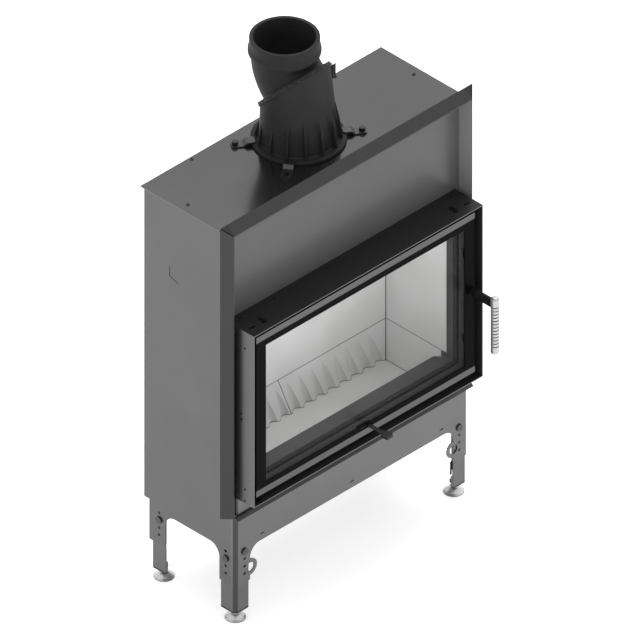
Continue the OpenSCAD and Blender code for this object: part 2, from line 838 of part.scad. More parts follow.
module door_seal() color([0.10, 0.10, 0.10]) at_home()
    upright(door_back + seal_gap, frame_y - door_back - 2 * seal_gap) difference() {
        rect(-ret_x - seal_w, ret_x + seal_w, ret_z0 - seal_w, ret_z1 + seal_w);
        rect(-ret_x - seat, ret_x + seat, ret_z0 - seat, ret_z1 + seat);
    }

// clips reach from the door's inner faces over the edge of the pane
module glass_clips() {
    y = door_front + lip_front + 2 * seat + glass_t;
    color([0.30, 0.30, 0.30]) at_home() {
        for (side = [-1, 1], share = [0.2, 0.8]) {
            z = ret_z0 + (ret_z1 - ret_z0) * share;
            mirror([side < 0 ? 1 : 0, 0, 0]) {
                translate([ret_x - seat - clip_in, y, z - clip_len / 2]) cube([clip_in, clip_t, clip_len]);
                translate([ret_x - seat - clip_t, y, z - clip_len / 2])
                    cube([clip_t, clip_len / 2, clip_len]);
            }
        }
        for (share = [-0.6, 0, 0.6]) {
            translate([ret_x * share - clip_len / 2, y, ret_z1 - seat - clip_in])
                cube([clip_len, clip_t, clip_in]);
            translate([ret_x * share - clip_len / 2, y, ret_z1 - seat - clip_t])
                cube([clip_len, clip_len / 2, clip_t]);
        }
    }
}

module hinge_brackets() color([0.14, 0.14, 0.14]) at_home() difference() {
    for (z = [collar_bottom + sheet + seat, collar_top - sheet - seat - bracket_t])
        translate([seat + sheet - collar_w / 2, hinge_y - bracket_w / 3, z])
            cube([bracket_w, bracket_w, bracket_t]);
    rod_z(hinge_x, hinge_y, 0, case_top, hinge_pin_r + run_fit);
}

module hinge_pins() color([0.55, 0.55, 0.55]) at_home() {
    low = collar_bottom + sheet + seat;
    high = collar_top - sheet - seat;
    rod_z(hinge_x, hinge_y, low, door_z0 - seat + pin_tail, hinge_pin_r);
    rod_z(hinge_x, hinge_y, low + bracket_t + seat, door_z0 - seat - ear_t - ear_gap, ear_r - seat);
    rod_z(hinge_x, hinge_y, door_z1 + seat - pin_tail, high, hinge_pin_r);
    rod_z(hinge_x, hinge_y, door_z1 + seat + ear_t + ear_gap, high - bracket_t - seat, ear_r - seat);
}

// handle: the arm turns with its shaft, the grip is a ribbed sleeve on the arm's core rod

module handle_arm() color([0.10, 0.10, 0.10]) at_home() {
    rod_y(handle_x, handle_z, door_front - seat - boss_t, door_front - seat, boss_r);
    rod_y(handle_x, handle_z, door_front - over, door_back, shaft_r);
    rod_y(handle_x, handle_z, door_back - over, door_back + seat + cam_t + 2 * seat, tail_r);
    sideways(handle_x - arm_t / 2, arm_t) {
        rect(grip_y, door_front - seat - over, handle_z - arm_h / 2, handle_z + arm_h / 2);
    }
    rod_z(handle_x, grip_y, grip_top - grip_len + end_round, grip_top - end_round, core_r);
}

module handle_grip() color([0.80, 0.80, 0.80]) at_home() translate([handle_x, grip_y, 0]) difference() {
    union() {
        translate([0, 0, grip_top - grip_len]) rotate_extrude($fn = round_fn) grip_profile();
        intersection() {
            rod_z(0, 0, grip_top - grip_len + end_round, grip_top - end_round, grip_d / 2 - run_fit);
            translate([-grip_d, -grip_d / 2 * smooth_share, grip_top - grip_len])
                cube([2 * grip_d, grip_d, grip_len]);
        }
    }
    rod_z(0, 0, grip_top - grip_len + end_round - seat, grip_top - end_round + seat, core_r + seat);
    translate([-arm_t / 2 - seat, 0, handle_z - arm_h / 2 - seat])
        cube([arm_t + 2 * seat, grip_d, arm_h + 2 * seat]);
}

module grip_profile() difference() {
    intersection() {
        rect(0, grip_d / 2, 0, grip_len);
        union() {
            rect(0, grip_d / 2 - end_round, 0, grip_len);
            rect(0, grip_d / 2, end_round, grip_len - end_round);
            for (z = [end_round, grip_len - end_round])
                translate([grip_d / 2 - end_round, z]) circle(end_round, $fn = round_fn);
        }
    }
    for (i = [0 : groove_count - 1])
        translate([grip_d / 2, grip_len - cap_len - i * groove_pitch]) circle(groove_r, $fn = small_fn);
}

module latch_cam() color([0.35, 0.35, 0.35]) at_home() difference() {
    union() {
        rod_y(handle_x, handle_z, door_back + seat, door_back + seat + cam_t, cam_hub_r);
        translate([handle_x, door_back + seat, handle_z - cam_w / 2]) cube([cam_reach, cam_t, cam_w]);
    }
    rod_y(handle_x, handle_z, door_back - over, door_back + 2 * cam_t, tail_r + run_fit);
}

// screwed to the cheek by its pair of screws, below the lip that the cam turns behind
module latch_keeper() color([0.35, 0.35, 0.35]) at_home() difference() {
    wall = collar_w / 2 - sheet - seat;
    lip_y = door_back + seat - keeper_play - keeper_t;
    foot_y = cheek_pair_in - collar_reach - keeper_edge;
    foot_z = handle_z - keeper_drop - keeper_screw_step - keeper_edge;
    union() {
        translate([wall - keeper_t, foot_y, foot_z])
            cube([keeper_t, frame_y - foot_y, handle_z + keeper_h / 2 - foot_z]);
        translate([wall - keeper_t - keeper_lap, lip_y, handle_z - keeper_h / 2])
            cube([keeper_lap + over, keeper_t, keeper_h]);
    }
    pair_places(1) translate([-keeper_foot, 0, 0]) rotate([0, 90, 0])
        cylinder(h = keeper_foot, r = cheek_hole_r, $fn = small_fn);
}

module air_slide() color([0.20, 0.20, 0.20]) at_home() {
    y = door_front + lip_front + seat;
    upright(y, slide_t) rect(lever_x - slide_len / 2, lever_x + slide_len / 2,
        stem_z - pocket_h / 2 + seat, stem_z + pocket_h / 2 - seat);
    translate([lever_x - stem_w / 2, door_front - lever_reach + door_gap * 2, stem_z - stem_t / 2])
        cube([stem_w, lever_reach - door_gap * 2 + lip_front + seat + over, stem_t]);
}

module air_knob() color([0.26, 0.26, 0.26]) at_home() difference() {
    translate([lever_x, 0, 0]) level(stem_z - knob_h / 2, knob_h) round_rect(-knob_w / 2, knob_w / 2,
        door_front - lever_reach + knob_d / 2, door_front - lever_reach + knob_d * 3 / 2 + knob_r, knob_r);
    translate([lever_x - stem_w / 2 - seat, door_front - lever_reach + door_gap * 2 - seat,
        stem_z - stem_t / 2 - seat])
        cube([stem_w + 2 * seat, lever_reach, stem_t + 2 * seat]);
}

// flue adaptor: both castings meet on a plane at 45 degrees and turn on it

module on_cut(rise) translate([0, cut_y, cut_z]) rotate([-45, 0, 0]) translate([0, 0, rise]) children();

module thin_disc(r) cylinder(h = seat, r = r, $fn = hull_fn);

module base_body(shrink) hull() {
    translate([0, flue_y, case_top + seat + flange_t / 2]) thin_disc(base_r - shrink);
    on_cut(-cut_flange_t * 2 / 3) thin_disc(cut_r - shrink);
}

module outlet_body(shrink) hull() {
    on_cut(cut_flange_t * 2 / 3 - seat) thin_disc(upper_r - shrink);
    translate([0, neck_y, neck_z + over]) thin_disc(neck_r - over - shrink);
}

module flue_base() {
    z0 = case_top + seat;
    color([0.20, 0.20, 0.20]) at_home() difference() {
        union() {
            rod_z(0, flue_y, z0, z0 + flange_t, foot_flange_d / 2);
            rod_z(0, flue_y, z0 - tail_len, z0 + over, smoke_r - tail_gap);
            base_body(0);
            ribs(z0 + flange_t - over);
            on_cut(-seat / 2 - cut_flange_t) cylinder(h = cut_flange_t, r = cut_flange_d / 2, $fn = round_fn);
        }
        base_body(cast_wall);
        rod_z(0, flue_y, z0 - tail_len - over, z0 + flange_t, smoke_r - tail_gap - cast_wall);
        on_cut(-2 * cut_flange_t) cylinder(h = 3 * cut_flange_t, r = cut_r - cast_wall - over, $fn = round_fn);
    }
}

// fins that run out upwards into the casting's wall, kept below the cut
module ribs(z) difference() {
    for (i = [0 : rib_count - 1]) translate([0, flue_y, z]) rotate([0, 0, rib_turn - 90 + i * 360 / rib_count])
        translate([0, rib_t / 2, 0]) rotate([90, 0, 0]) linear_extrude(rib_t)
            polygon([[base_r - cast_wall - over, 0], [base_r + rib_reach, 0],
                [base_r - cast_wall - over, rib_h * (1 + (cast_wall + over) / rib_reach)]]);
    on_cut(-cut_flange_t) translate([-foot_flange_d, -foot_flange_d, 0])
        cube([2 * foot_flange_d, 2 * foot_flange_d, foot_flange_d]);
}

module flue_outlet() {
    bead_top = rim_top - spigot_len - flare_h;
    color([0.18, 0.18, 0.18]) at_home() difference() {
        union() {
            outlet_body(0);
            on_cut(seat / 2) cylinder(h = cut_flange_t, r = upper_flange_r, $fn = round_fn);
            translate([0, neck_y, 0]) rotate_extrude($fn = round_fn) polygon([[0, neck_z], [neck_r, neck_z],
                [neck_r, bead_top - bead_h - throat_h], [bead_r, bead_top - bead_h], [bead_r, bead_top],
                [spigot_d / 2, rim_top - spigot_len], [spigot_d / 2, rim_top - over],
                [spigot_d / 2 - over, rim_top], [0, rim_top]]);
        }
        outlet_body(cast_wall);
        on_cut(-cut_flange_t) cylinder(h = 3 * cut_flange_t, r = upper_r - cast_wall - over, $fn = round_fn);
        rod_z(0, neck_y, neck_z + over / 2, rim_top + over, rim_bore_r);
    }
}

// draws its child with the x axis pointing out along each clamp, zero on the flue axis
module clamp_places() for (a = [clamp_turn, 180 - clamp_turn, 180 + clamp_turn, -clamp_turn])
    translate([0, flue_y, 0]) rotate([0, 0, a]) children();

// a strap from the foot flange down to the top plate
module flue_clamps() {
    low = case_top + seat;
    high = low + flange_t + seat;
    inner = foot_flange_d / 2 - clamp_grip;
    bend = foot_flange_d / 2 + clamp_bend;
    outer = clamp_reach + clamp_tail;
    color([0.62, 0.62, 0.62]) at_home() clamp_places() difference() {
        intersection() {
            upright(-clamp_w / 2 - over, clamp_w + 2 * over) polygon([[inner - over, high], [bend, high],
                [bend + clamp_ramp, low], [outer + over, low], [outer + over, low + clamp_t],
                [bend + clamp_ramp + clamp_t / 2, low + clamp_t], [bend + clamp_t / 2, high + clamp_t],
                [inner - over, high + clamp_t]]);
            level(case_top, 2 * flange_t + clamp_t) round_rect(inner, outer, -clamp_w / 2, clamp_w / 2,
                clamp_w / 5);
        }
        rod_z(clamp_reach, 0, case_top, case_top + flange_t + 2 * clamp_t, clamp_bolt_r + seat);
    }
}

module clamp_bolts() {
    z0 = case_top + 2 * seat + clamp_t;
    color([0.25, 0.25, 0.25]) at_home() clamp_places() translate([clamp_reach, 0, 0]) {
        translate([0, 0, z0]) cylinder(h = head_h, r = head_r, $fn = 6);
        rod_z(0, 0, case_top - 3 * sheet, z0 + over, clamp_bolt_r);
    }
}

// telescopic legs and levelling feet

module inner_leg(side, back) color([0.45, 0.45, 0.45]) at_home() corner_place(side, back) difference() {
    union() {
        level(inner_bottom, leg_top - inner_bottom) fold_ring(leg_out, leg_t, leg_u, leg_w);
        level(inner_bottom, foot_plate_t) {
            polygon(fold(leg_out, leg_u, leg_w));
            translate([foot_u, foot_u]) circle(foot_boss_r, $fn = round_fn);
        }
        upright(leg_w - leg_t, leg_t) leg_tab();
        sideways(leg_u - leg_t, leg_t) leg_tab();
    }
    rod_z(foot_u, foot_u, 0, leg_top, stud_r + run_fit);
    leg_slots(leg_travel + bolt_hole_r + seat);
}

// short return at the lower end of each arm
module leg_tab() polygon([[leg_out, inner_bottom], [leg_out + leg_tab_len, inner_bottom],
    [leg_out + leg_tab_len, inner_bottom + leg_tab_h - leg_tab_len / 2],
    [leg_out + leg_tab_len / 2, inner_bottom + leg_tab_h], [leg_out, inner_bottom + leg_tab_h]]);

module leg_front_left() inner_leg(-1, false);

module leg_front_right() inner_leg(1, false);

module leg_back_left() inner_leg(-1, true);

module leg_back_right() inner_leg(1, true);

module foot(side, back) color([0.84, 0.84, 0.84]) at_home() corner_place(side, back)
    translate([foot_u, foot_u, 0]) {
        rotate_extrude($fn = round_fn) polygon([[0, 0], [foot_d / 2 - over / 2, 0], [foot_d / 2, over / 2],
            [foot_d / 2, disc_t], [dome_low_r, dome_low_z], [dome_mid_r, dome_mid_z],
            [dome_top_r, dome_top_z], [dome_top_r, boss_top_z], [stud_r, boss_top_z],
            [stud_r, inner_bottom - seat - collar_ring_h], [collar_ring_r, inner_bottom - seat - collar_ring_h],
            [collar_ring_r, inner_bottom - seat], [stud_r, inner_bottom - seat], [stud_r, stud_top - over],
            [stud_r - over, stud_top], [0, stud_top]]);
        translate([0, 0, inner_bottom + foot_plate_t + seat]) cylinder(h = nut_h, r = nut_r, $fn = 6);
    }

module foot_front_left() foot(-1, false);

module foot_front_right() foot(1, false);

module foot_back_left() foot(-1, true);

module foot_back_right() foot(1, true);

// fixings

// button head outside, shank through sheet, guide and leg slot, nut inside; drawn along +x from the outer face
module leg_bolt() rotate([0, 90, 0]) {
    nut_at = guide_out + guide_t + seat;
    translate([0, 0, -bolt_head_t - seat]) cylinder(h = bolt_head_t, r = bolt_head_r, $fn = round_fn);
    translate([0, 0, -over]) cylinder(h = nut_at + over + nut_in_h + 2 * over, r = bolt_r, $fn = round_fn);
    translate([0, 0, nut_at]) cylinder(h = nut_in_h, r = nut_in_r, $fn = 6);
}

module leg_bolts() color([0.42, 0.42, 0.42]) at_home() for (side = [-1, 1]) {
    for (back = [false, true]) corner_place(side, back)
        translate([0, leg_hole_w, hole_first + side_bolt_row * hole_pitch]) leg_bolt();
    corner_place(side, false) translate([leg_hole_u, 0, hole_first + front_bolt_row * hole_pitch])
        rotate([0, 0, 90]) leg_bolt();
}

// drawn along -z from a face at zero
module button_screw() {
    translate([0, 0, seat]) cylinder(h = screw_h, r1 = screw_r, r2 = screw_r * 2 / 3, $fn = small_fn);
    translate([0, 0, -screw_len]) cylinder(h = screw_len + over, r = screw_shank_r, $fn = small_fn);
}

module case_screws() color([0.40, 0.40, 0.40]) at_home() for (side = [-1, 1]) {
    for (share = top_screw_shares)
        translate([side * (in_x - top_screw_inset), case_back * share, case_top]) button_screw();
    translate([side * case_w / 2 * back_screw_share, case_back - top_screw_inset, case_top]) button_screw();
}

// drawn along +z from the outer face of a cheek
module cheek_screw(through) {
    translate([0, 0, seat])
        cylinder(h = cheek_head_h, r1 = cheek_head_r, r2 = cheek_head_r * 2 / 3, $fn = small_fn);
    translate([0, 0, -through]) cylinder(h = through + over, r = cheek_shank_r, $fn = small_fn);
}

module surround_screws() color([0.20, 0.20, 0.20]) at_home() {
    for (side = [-1, 1]) {
        for (share = cheek_screw_z_shares)
            translate([side * collar_w / 2, cheek_screw_in - collar_reach, collar_bottom + collar_h * share])
                rotate([0, side * 90, 0]) cheek_screw(sheet);
        pair_places(side) rotate([0, side * 90, 0]) cheek_screw(sheet + seat + keeper_t);
    }
    for (share = rivet_shares) translate([share * collar_w / 2, rivet_y, collar_top + seat]) {
        cylinder(h = rivet_h, r1 = rivet_r, r2 = rivet_r * 2 / 3, $fn = small_fn);
        translate([0, 0, -2 * sheet]) cylinder(h = 2 * sheet + seat, r = rivet_r / 2, $fn = small_fn);
    }
}

case_side_left();
case_side_right();
case_back();
case_top();
front_plate();
facade_frame();
ash_lip();
base_skirt();
base_plate();
leg_guides();
door_surround();
front_frame();
hearth_sill();
firebox_shell();
smoke_collar();
air_inlet();
lining_floor();
lining_front();
lining_left_lower();
lining_left_upper();
lining_right_lower();
lining_right_upper();
lining_back_upper();
lining_back_lower_left();
lining_back_lower_right();
baffle();
door_frame();
door_glass();
door_trims();
door_seal();
glass_clips();
hinge_brackets();
hinge_pins();
handle_arm();
handle_grip();
latch_cam();
latch_keeper();
air_slide();
air_knob();
flue_base();
flue_outlet();
flue_clamps();
clamp_bolts();
leg_front_left();
leg_front_right();
leg_back_left();
leg_back_right();
foot_front_left();
foot_front_right();
foot_back_left();
foot_back_right();
leg_bolts();
case_screws();
surround_screws();
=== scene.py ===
"""Looks of a wood burning fireplace insert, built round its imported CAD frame."""
import bpy
import bmesh
import math
from mathutils import Matrix, Vector


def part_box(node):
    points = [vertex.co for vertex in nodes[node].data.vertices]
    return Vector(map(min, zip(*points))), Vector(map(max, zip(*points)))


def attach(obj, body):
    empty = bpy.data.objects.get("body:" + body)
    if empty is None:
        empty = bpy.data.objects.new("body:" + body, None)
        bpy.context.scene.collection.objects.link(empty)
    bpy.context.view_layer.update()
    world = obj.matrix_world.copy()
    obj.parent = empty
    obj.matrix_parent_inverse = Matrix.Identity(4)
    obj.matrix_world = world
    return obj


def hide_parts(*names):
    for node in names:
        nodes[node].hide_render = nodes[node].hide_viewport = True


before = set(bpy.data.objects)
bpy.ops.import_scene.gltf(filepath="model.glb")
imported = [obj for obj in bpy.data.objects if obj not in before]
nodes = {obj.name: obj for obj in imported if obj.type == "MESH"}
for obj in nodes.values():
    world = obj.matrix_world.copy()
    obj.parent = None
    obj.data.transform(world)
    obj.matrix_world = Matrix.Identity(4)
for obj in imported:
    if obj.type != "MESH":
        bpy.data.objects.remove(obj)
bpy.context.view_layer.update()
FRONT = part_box("facade_frame")[0][1]


# Casing: folded and spot welded sheet steel with a smooth grey metallic coating.
# The coating is fine grained and a little uneven in gloss, so that light lies on it in faint clouds.
# The top plate is the smoothest, and the recessed plate is nearly matt.
def linear(hex_colour):
    """An sRGB hex colour as linear RGBA."""
    channels = [int(hex_colour[i:i + 2], 16) / 255 for i in (1, 3, 5)]
    return [c / 12.92 if c <= 0.04045 else ((c + 0.055) / 1.055) ** 2.4 for c in channels] + [1.0]


def set_inputs(tree, node, inputs):
    """Sets a node's inputs, given in order or by name, and links those that are sockets."""
    pairs = inputs.items() if isinstance(inputs, dict) else enumerate(inputs)
    for key, value in pairs:
        if isinstance(value, bpy.types.NodeSocket):
            tree.links.new(value, node.inputs[key])
        else:
            node.inputs[key].default_value = value


def add_node(tree, kind, inputs=(), output=0, **settings):
    """Adds one shader node and gives one output. A colour mix takes colours at 6 and 7 and gives output 2."""
    made = tree.nodes.new(kind)
    for key, value in settings.items():
        setattr(made, key, value)
    set_inputs(tree, made, inputs)
    return made.outputs[output]


def new_material(name):
    """An empty material, its tree, its principled shader and its object coordinates in metres."""
    material = bpy.data.materials.new(name)
    material.use_nodes = True
    tree = material.node_tree
    place = add_node(tree, "ShaderNodeTexCoord", output="Object")
    return material, tree, tree.nodes["Principled BSDF"], place


CLOUD_MM, GRAIN_MM, GLOSS_SWING = 180, 0.9, 0.06


def coated_sheet(name, light, dark, rough=0.5, grain_mm=GRAIN_MM, depth_mm=0.03, shine=0.3, metal=0.0):
    """Coated steel: fine orange peel, faint clouds in colour and gloss."""
    material, tree, shader, place = new_material(name)
    clouds = add_node(tree, "ShaderNodeTexNoise", {"Vector": place, "Scale": 1000 / CLOUD_MM, "Detail": 4.0})
    grain = add_node(tree, "ShaderNodeTexNoise", {"Vector": place, "Scale": 1000 / grain_mm, "Detail": 3.0})
    faint = add_node(tree, "ShaderNodeMapRange", [clouds, 0.35, 0.65, 0, 1])
    tone = add_node(tree, "ShaderNodeMix", {0: faint, 6: linear(dark), 7: linear(light)}, 2, data_type="RGBA")
    gloss = add_node(tree, "ShaderNodeMapRange", [grain, 0.3, 0.7, rough - GLOSS_SWING, rough + GLOSS_SWING])
    peel = add_node(tree, "ShaderNodeBump", {"Height": grain, "Distance": depth_mm / 1000, "Strength": 0.35})
    set_inputs(tree, shader, {"Base Color": tone, "Roughness": gloss, "Normal": peel, "Metallic": metal,
                              "Specular IOR Level": shine})
    return material


def dress(material, *names):
    """Gives CAD nodes a material."""
    for name in names:
        nodes[name].data.materials.clear()
        nodes[name].data.materials.append(material)


def soften(width_mm, *names):
    """Rounds the sharp edges of CAD nodes a little, by modifiers only."""
    for name in names:
        bevel = nodes[name].modifiers.new("edge", "BEVEL")
        bevel.width = width_mm / 1000
        bevel.segments = 2
        bevel.limit_method = "ANGLE"
        bevel.harden_normals = True


case_coat = coated_sheet("Satin grey metallic sheet", "#6a6a6a", "#676767",
                         rough=0.33, depth_mm=0.008, shine=0.5, metal=0.9)
dress(case_coat, "case_back", "base_skirt")
# The sides take a darker copy of the casing coat, which is painted shade on the sides.
shaded_side_coat = coated_sheet("Satin grey metallic sheet with painted shade for the sides", "#626262", "#5f5f5f",
                         rough=0.33, depth_mm=0.008, shine=0.5, metal=0.9)
dress(shaded_side_coat, "case_side_left", "case_side_right")
plate_coat = coated_sheet("Matt grey recessed plate", "#5e5e5e", "#5b5b5b",
                          rough=0.3, depth_mm=0.008, shine=0.25, metal=0.08)
dress(plate_coat, "front_plate")
top_coat = coated_sheet("Satin grey metallic top sheet", "#6c6c6c", "#696969",
                        rough=0.17, depth_mm=0.004, shine=0.5, metal=0.95)
dress(top_coat, "case_top")
soften(0.5, "case_side_left", "case_side_right", "base_skirt", "case_top")


# Spot welds: round dimples that show through the coat of the casing sides, where brackets sit inside.
# They are 9 mm across and stand out by a quarter of a millimetre.
def add_piece(name, vertices, faces, material, body, smooth_degrees=30):
    """A mesh piece in the row frame that rides on a CAD body."""
    mesh = bpy.data.meshes.new(name)
    mesh.from_pydata([tuple(v) for v in vertices], [], faces)
    shape = bmesh.new()
    shape.from_mesh(mesh)
    bmesh.ops.recalc_face_normals(shape, faces=shape.faces)
    limit = math.radians(smooth_degrees)
    for face in shape.faces:
        face.smooth = True
    for edge in shape.edges:
        edge.smooth = len(edge.link_faces) == 2 and edge.calc_face_angle(0) < limit
    shape.to_mesh(mesh)
    shape.free()
    mesh.materials.append(material)
    piece = bpy.data.objects.new(name, mesh)
    bpy.context.scene.collection.objects.link(piece)
    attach(piece, body)
    return piece


def lathe(vertices, faces, profile, around, segments=96, closed=False):
    """Adds a turned surface: profile gives radius and height along the z axis of the matrix around."""
    start = len(vertices)
    for radius, height in profile:
        for i in range(segments):
            turn = math.tau * i / segments
            vertices.append(around @ Vector((radius * math.cos(turn), radius * math.sin(turn), height)))
    rows = len(profile) if closed else len(profile) - 1
    for row in range(rows):
        for i in range(segments):
            a = start + row * segments
            b = start + (row + 1) % len(profile) * segments
            j = (i + 1) % segments
            faces.append((a + i, a + j, b + j, b + i))


def at(x, y, z, towards=(0, 0, 1)):
    """The matrix of a local z axis that starts at a point and looks along a direction."""
    turn = Vector(towards).to_track_quat("Z", "Y").to_matrix().to_4x4()
    return Matrix.Translation((x, y, z)) @ turn


WELD_PLACES = [(0.1465, 1.135), (0.109, 1.148), (0.350, 1.009)]
WELD_R, WELD_RISE, TIP_R = 0.0045, 0.00025, 0.0001
side_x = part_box("case_side_right")[1][0]
verts, faces = [], []
for side in (-1, 1):
    for depth, height in WELD_PLACES:
        dimple = [(WELD_R, 0), (WELD_R * 0.7, WELD_RISE), (WELD_R * 0.5, WELD_RISE * 0.4),
                  (TIP_R, WELD_RISE * 0.2)]
        lathe(verts, faces, dimple, at(side * side_x, FRONT + depth, height, (side, 0, 0)), 24)
add_piece("spot_welds", verts, faces, shaded_side_coat, "casing")

# Facade frame and ash lip: the same sheet in a darker coat, mitred and welded at the corners.
# Its flare is dark, with painted shade making the side flares a little darker than the top; the reveal behind
# the flare keeps the casing's lighter grey, and black painted shade runs along the mitre slits.
FLARE_RUN, BAND_FADE = 0.027, 0.0005
TOP_EDGE, SIDE_EDGE, FADE, SLIT_FADE, HALF_SLIT_MM = 0.0004, 0.0006, 0.0003, 0.001, 1.6


def axes_of(tree, place):
    """A place's coordinates by axis, and how far it lies from the middle plane."""
    axes = add_node(tree, "ShaderNodeSeparateXYZ", [place]).node.outputs
    return axes, add_node(tree, "ShaderNodeMath", [axes["X"]], operation="ABSOLUTE")


def band(tree, value, centre, half_mm=0.8):
    """One within half_mm of a centre, and zero beyond it."""
    off = add_node(tree, "ShaderNodeMath", [value, centre], operation="SUBTRACT")
    distance = add_node(tree, "ShaderNodeMath", [off], operation="ABSOLUTE")
    return add_node(tree, "ShaderNodeMapRange", [distance, half_mm / 1000, half_mm / 1000 + BAND_FADE, 1, 0])


def frame_paint():
    """Dark on the flare with painted shade on the side flares, grey on the reveal, and black painted shade
    along the mitred corners.
    """
    material, tree, shader, place = new_material("Dark flare and grey reveal coat")
    fold_x, fold_z = (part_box("facade_frame")[1][axis] - FLARE_RUN for axis in (0, 2))
    flare_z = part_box("front_plate")[1][2] - TOP_EDGE
    reveal_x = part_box("front_plate")[1][0] + SIDE_EDGE
    axes, across = axes_of(tree, place)
    outside = add_node(tree, "ShaderNodeMapRange", [across, reveal_x - FADE, reveal_x, 0, 1])
    above = add_node(tree, "ShaderNodeMapRange", [axes["Z"], flare_z - FADE, flare_z, 0, 1])
    dark = add_node(tree, "ShaderNodeMath", [outside, above], operation="MAXIMUM")
    outward = add_node(tree, "ShaderNodeMath", [across, fold_x], operation="SUBTRACT")
    upward = add_node(tree, "ShaderNodeMath", [axes["Z"], fold_z], operation="SUBTRACT")
    off_slit = add_node(tree, "ShaderNodeMath", [outward, upward], operation="SUBTRACT")
    past_fold = add_node(tree, "ShaderNodeMapRange", [outward, -SLIT_FADE, 0, 0, 1])
    slit = band(tree, off_slit, 0.0, HALF_SLIT_MM)
    mitre = add_node(tree, "ShaderNodeMath", [slit, past_fold], operation="MULTIPLY")
    coat = linear("#989898")
    # The side flares' darker tone and the black along the mitre slit are painted shade.
    for zone, colour in ((dark, "#474747"), (outside, "#404040"), (mitre, "#0c0c0c")):
        coat = add_node(tree, "ShaderNodeMix", {0: zone, 6: coat, 7: linear(colour)}, 2, data_type="RGBA")
    grain = add_node(tree, "ShaderNodeTexNoise", {"Vector": place, "Scale": 1000 / GRAIN_MM, "Detail": 3.0})
    gloss = add_node(tree, "ShaderNodeMapRange", [grain, 0.3, 0.7, 0.3, 0.4])
    metal = add_node(tree, "ShaderNodeMapRange", [dark, 0, 1, 0.1, 0.9])
    peel = add_node(tree, "ShaderNodeBump", {"Height": grain, "Distance": 0.008 / 1000, "Strength": 0.3})
    set_inputs(tree, shader, {"Base Color": coat, "Roughness": gloss, "Metallic": metal, "Normal": peel})
    return material


dress(frame_paint(), "facade_frame")
soften(0.4, "facade_frame")
lip_coat = coated_sheet("Mid grey coated lip", "#545454", "#505050",
                        rough=0.36, depth_mm=0.008, shine=0.5, metal=0.9)
dress(lip_coat, "ash_lip")

# Mitre slit shade: a black bead at the bottom of the slit where the flare's side and top strips meet, put
# there as painted shade.
# It runs out and back at 45 degrees, just under the coated face.
BEAD_R, BEAD_SINK, BEAD_START, BEAD_STOP, BEAD_END = 0.0014, 0.0019, 0.0012, 0.0028, 0.0005
slit_shade_black = coated_sheet("Black painted shade in the mitre slit", "#0c0c0c", "#080808",
                          rough=0.7, grain_mm=0.8, depth_mm=0.04, shine=0.1)
frame_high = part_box("facade_frame")[1]
bead_length = (FLARE_RUN - BEAD_START - BEAD_STOP) * math.sqrt(3)
verts, faces = [], []
for side in (-1, 1):
    run, inward = Vector((side, 1, 1)), Vector((-side, 2, -1)).normalized()
    corner = Vector((side * (frame_high[0] - FLARE_RUN), FRONT, frame_high[2] - FLARE_RUN))
    foot = corner + run * BEAD_START + inward * BEAD_SINK
    bead = [(TIP_R, 0), (BEAD_R, BEAD_END), (BEAD_R, bead_length - BEAD_END), (TIP_R, bead_length)]
    lathe(verts, faces, bead, at(*foot, run), 12)
# This black bead is painted shade in the mitre slit.
add_piece("mitre_slit_shade", verts, faces, slit_shade_black, "casing")

# Inner sheet metal: base plate, leg guides, telescopic legs, smoke collar and air inlet.
# It is the same folded steel, plainer and a bit rougher than the casing, so that it shines less.
inner_coat = coated_sheet("Plain grey inner steel", "#676767", "#626262",
                          rough=0.38, grain_mm=1.4, depth_mm=0.01, shine=0.5, metal=0.9)
dress(inner_coat, "base_plate", "leg_guides", "smoke_collar", "air_inlet",
      "leg_front_left", "leg_front_right", "leg_back_left", "leg_back_right")

# Door surround: a folded steel collar round the door, screwed on through its cheeks.
# The cheeks and the front edges carry the casing's grey coat; the top and the throat are soft black painted
# shade.
CHEEK_SKIN, EDGE_SKIN = 0.0002, 0.0001


def surround_paint():
    """Grey on the cheeks and the front edges, soft black painted shade elsewhere."""
    material, tree, shader, place = new_material("Grey cheeks with painted shade on top and throat")
    cheek_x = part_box("door_surround")[1][0] - CHEEK_SKIN
    front_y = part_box("door_surround")[0][1] + EDGE_SKIN
    axes, across = axes_of(tree, place)
    cheek = add_node(tree, "ShaderNodeMapRange", [across, cheek_x - FADE, cheek_x, 0, 1])
    edge = add_node(tree, "ShaderNodeMapRange", [axes["Y"], front_y, front_y + FADE, 1, 0])
    outer = add_node(tree, "ShaderNodeMath", [cheek, edge], operation="MAXIMUM")
    # The soft black on the top and in the throat is painted shade.
    tones = {0: outer, 6: linear("#282828"), 7: linear("#666666")}
    grain = add_node(tree, "ShaderNodeTexNoise", {"Vector": place, "Scale": 1000 / GRAIN_MM, "Detail": 3.0})
    gloss = add_node(tree, "ShaderNodeMapRange", [grain, 0.3, 0.7, 0.32, 0.42])
    peel = add_node(tree, "ShaderNodeBump", {"Height": grain, "Distance": 0.01 / 1000, "Strength": 0.3})
    set_inputs(tree, shader, {"Base Color": add_node(tree, "ShaderNodeMix", tones, 2, data_type="RGBA"),
                              "Metallic": add_node(tree, "ShaderNodeMapRange", [outer, 0, 1, 0, 0.9]),
                              "Specular IOR Level": 0.2, "Roughness": gloss, "Normal": peel})
    return material


dress(surround_paint(), "door_surround")
soften(0.4, "door_surround")
black_coat = coated_sheet("Black heat resistant paint", "#121212", "#0e0e0e",
                          rough=0.48, grain_mm=0.7, depth_mm=0.04, shine=0.15)
dress(black_coat, "hinge_brackets", "surround_screws", "handle_arm")
soften(0.6, "handle_arm")

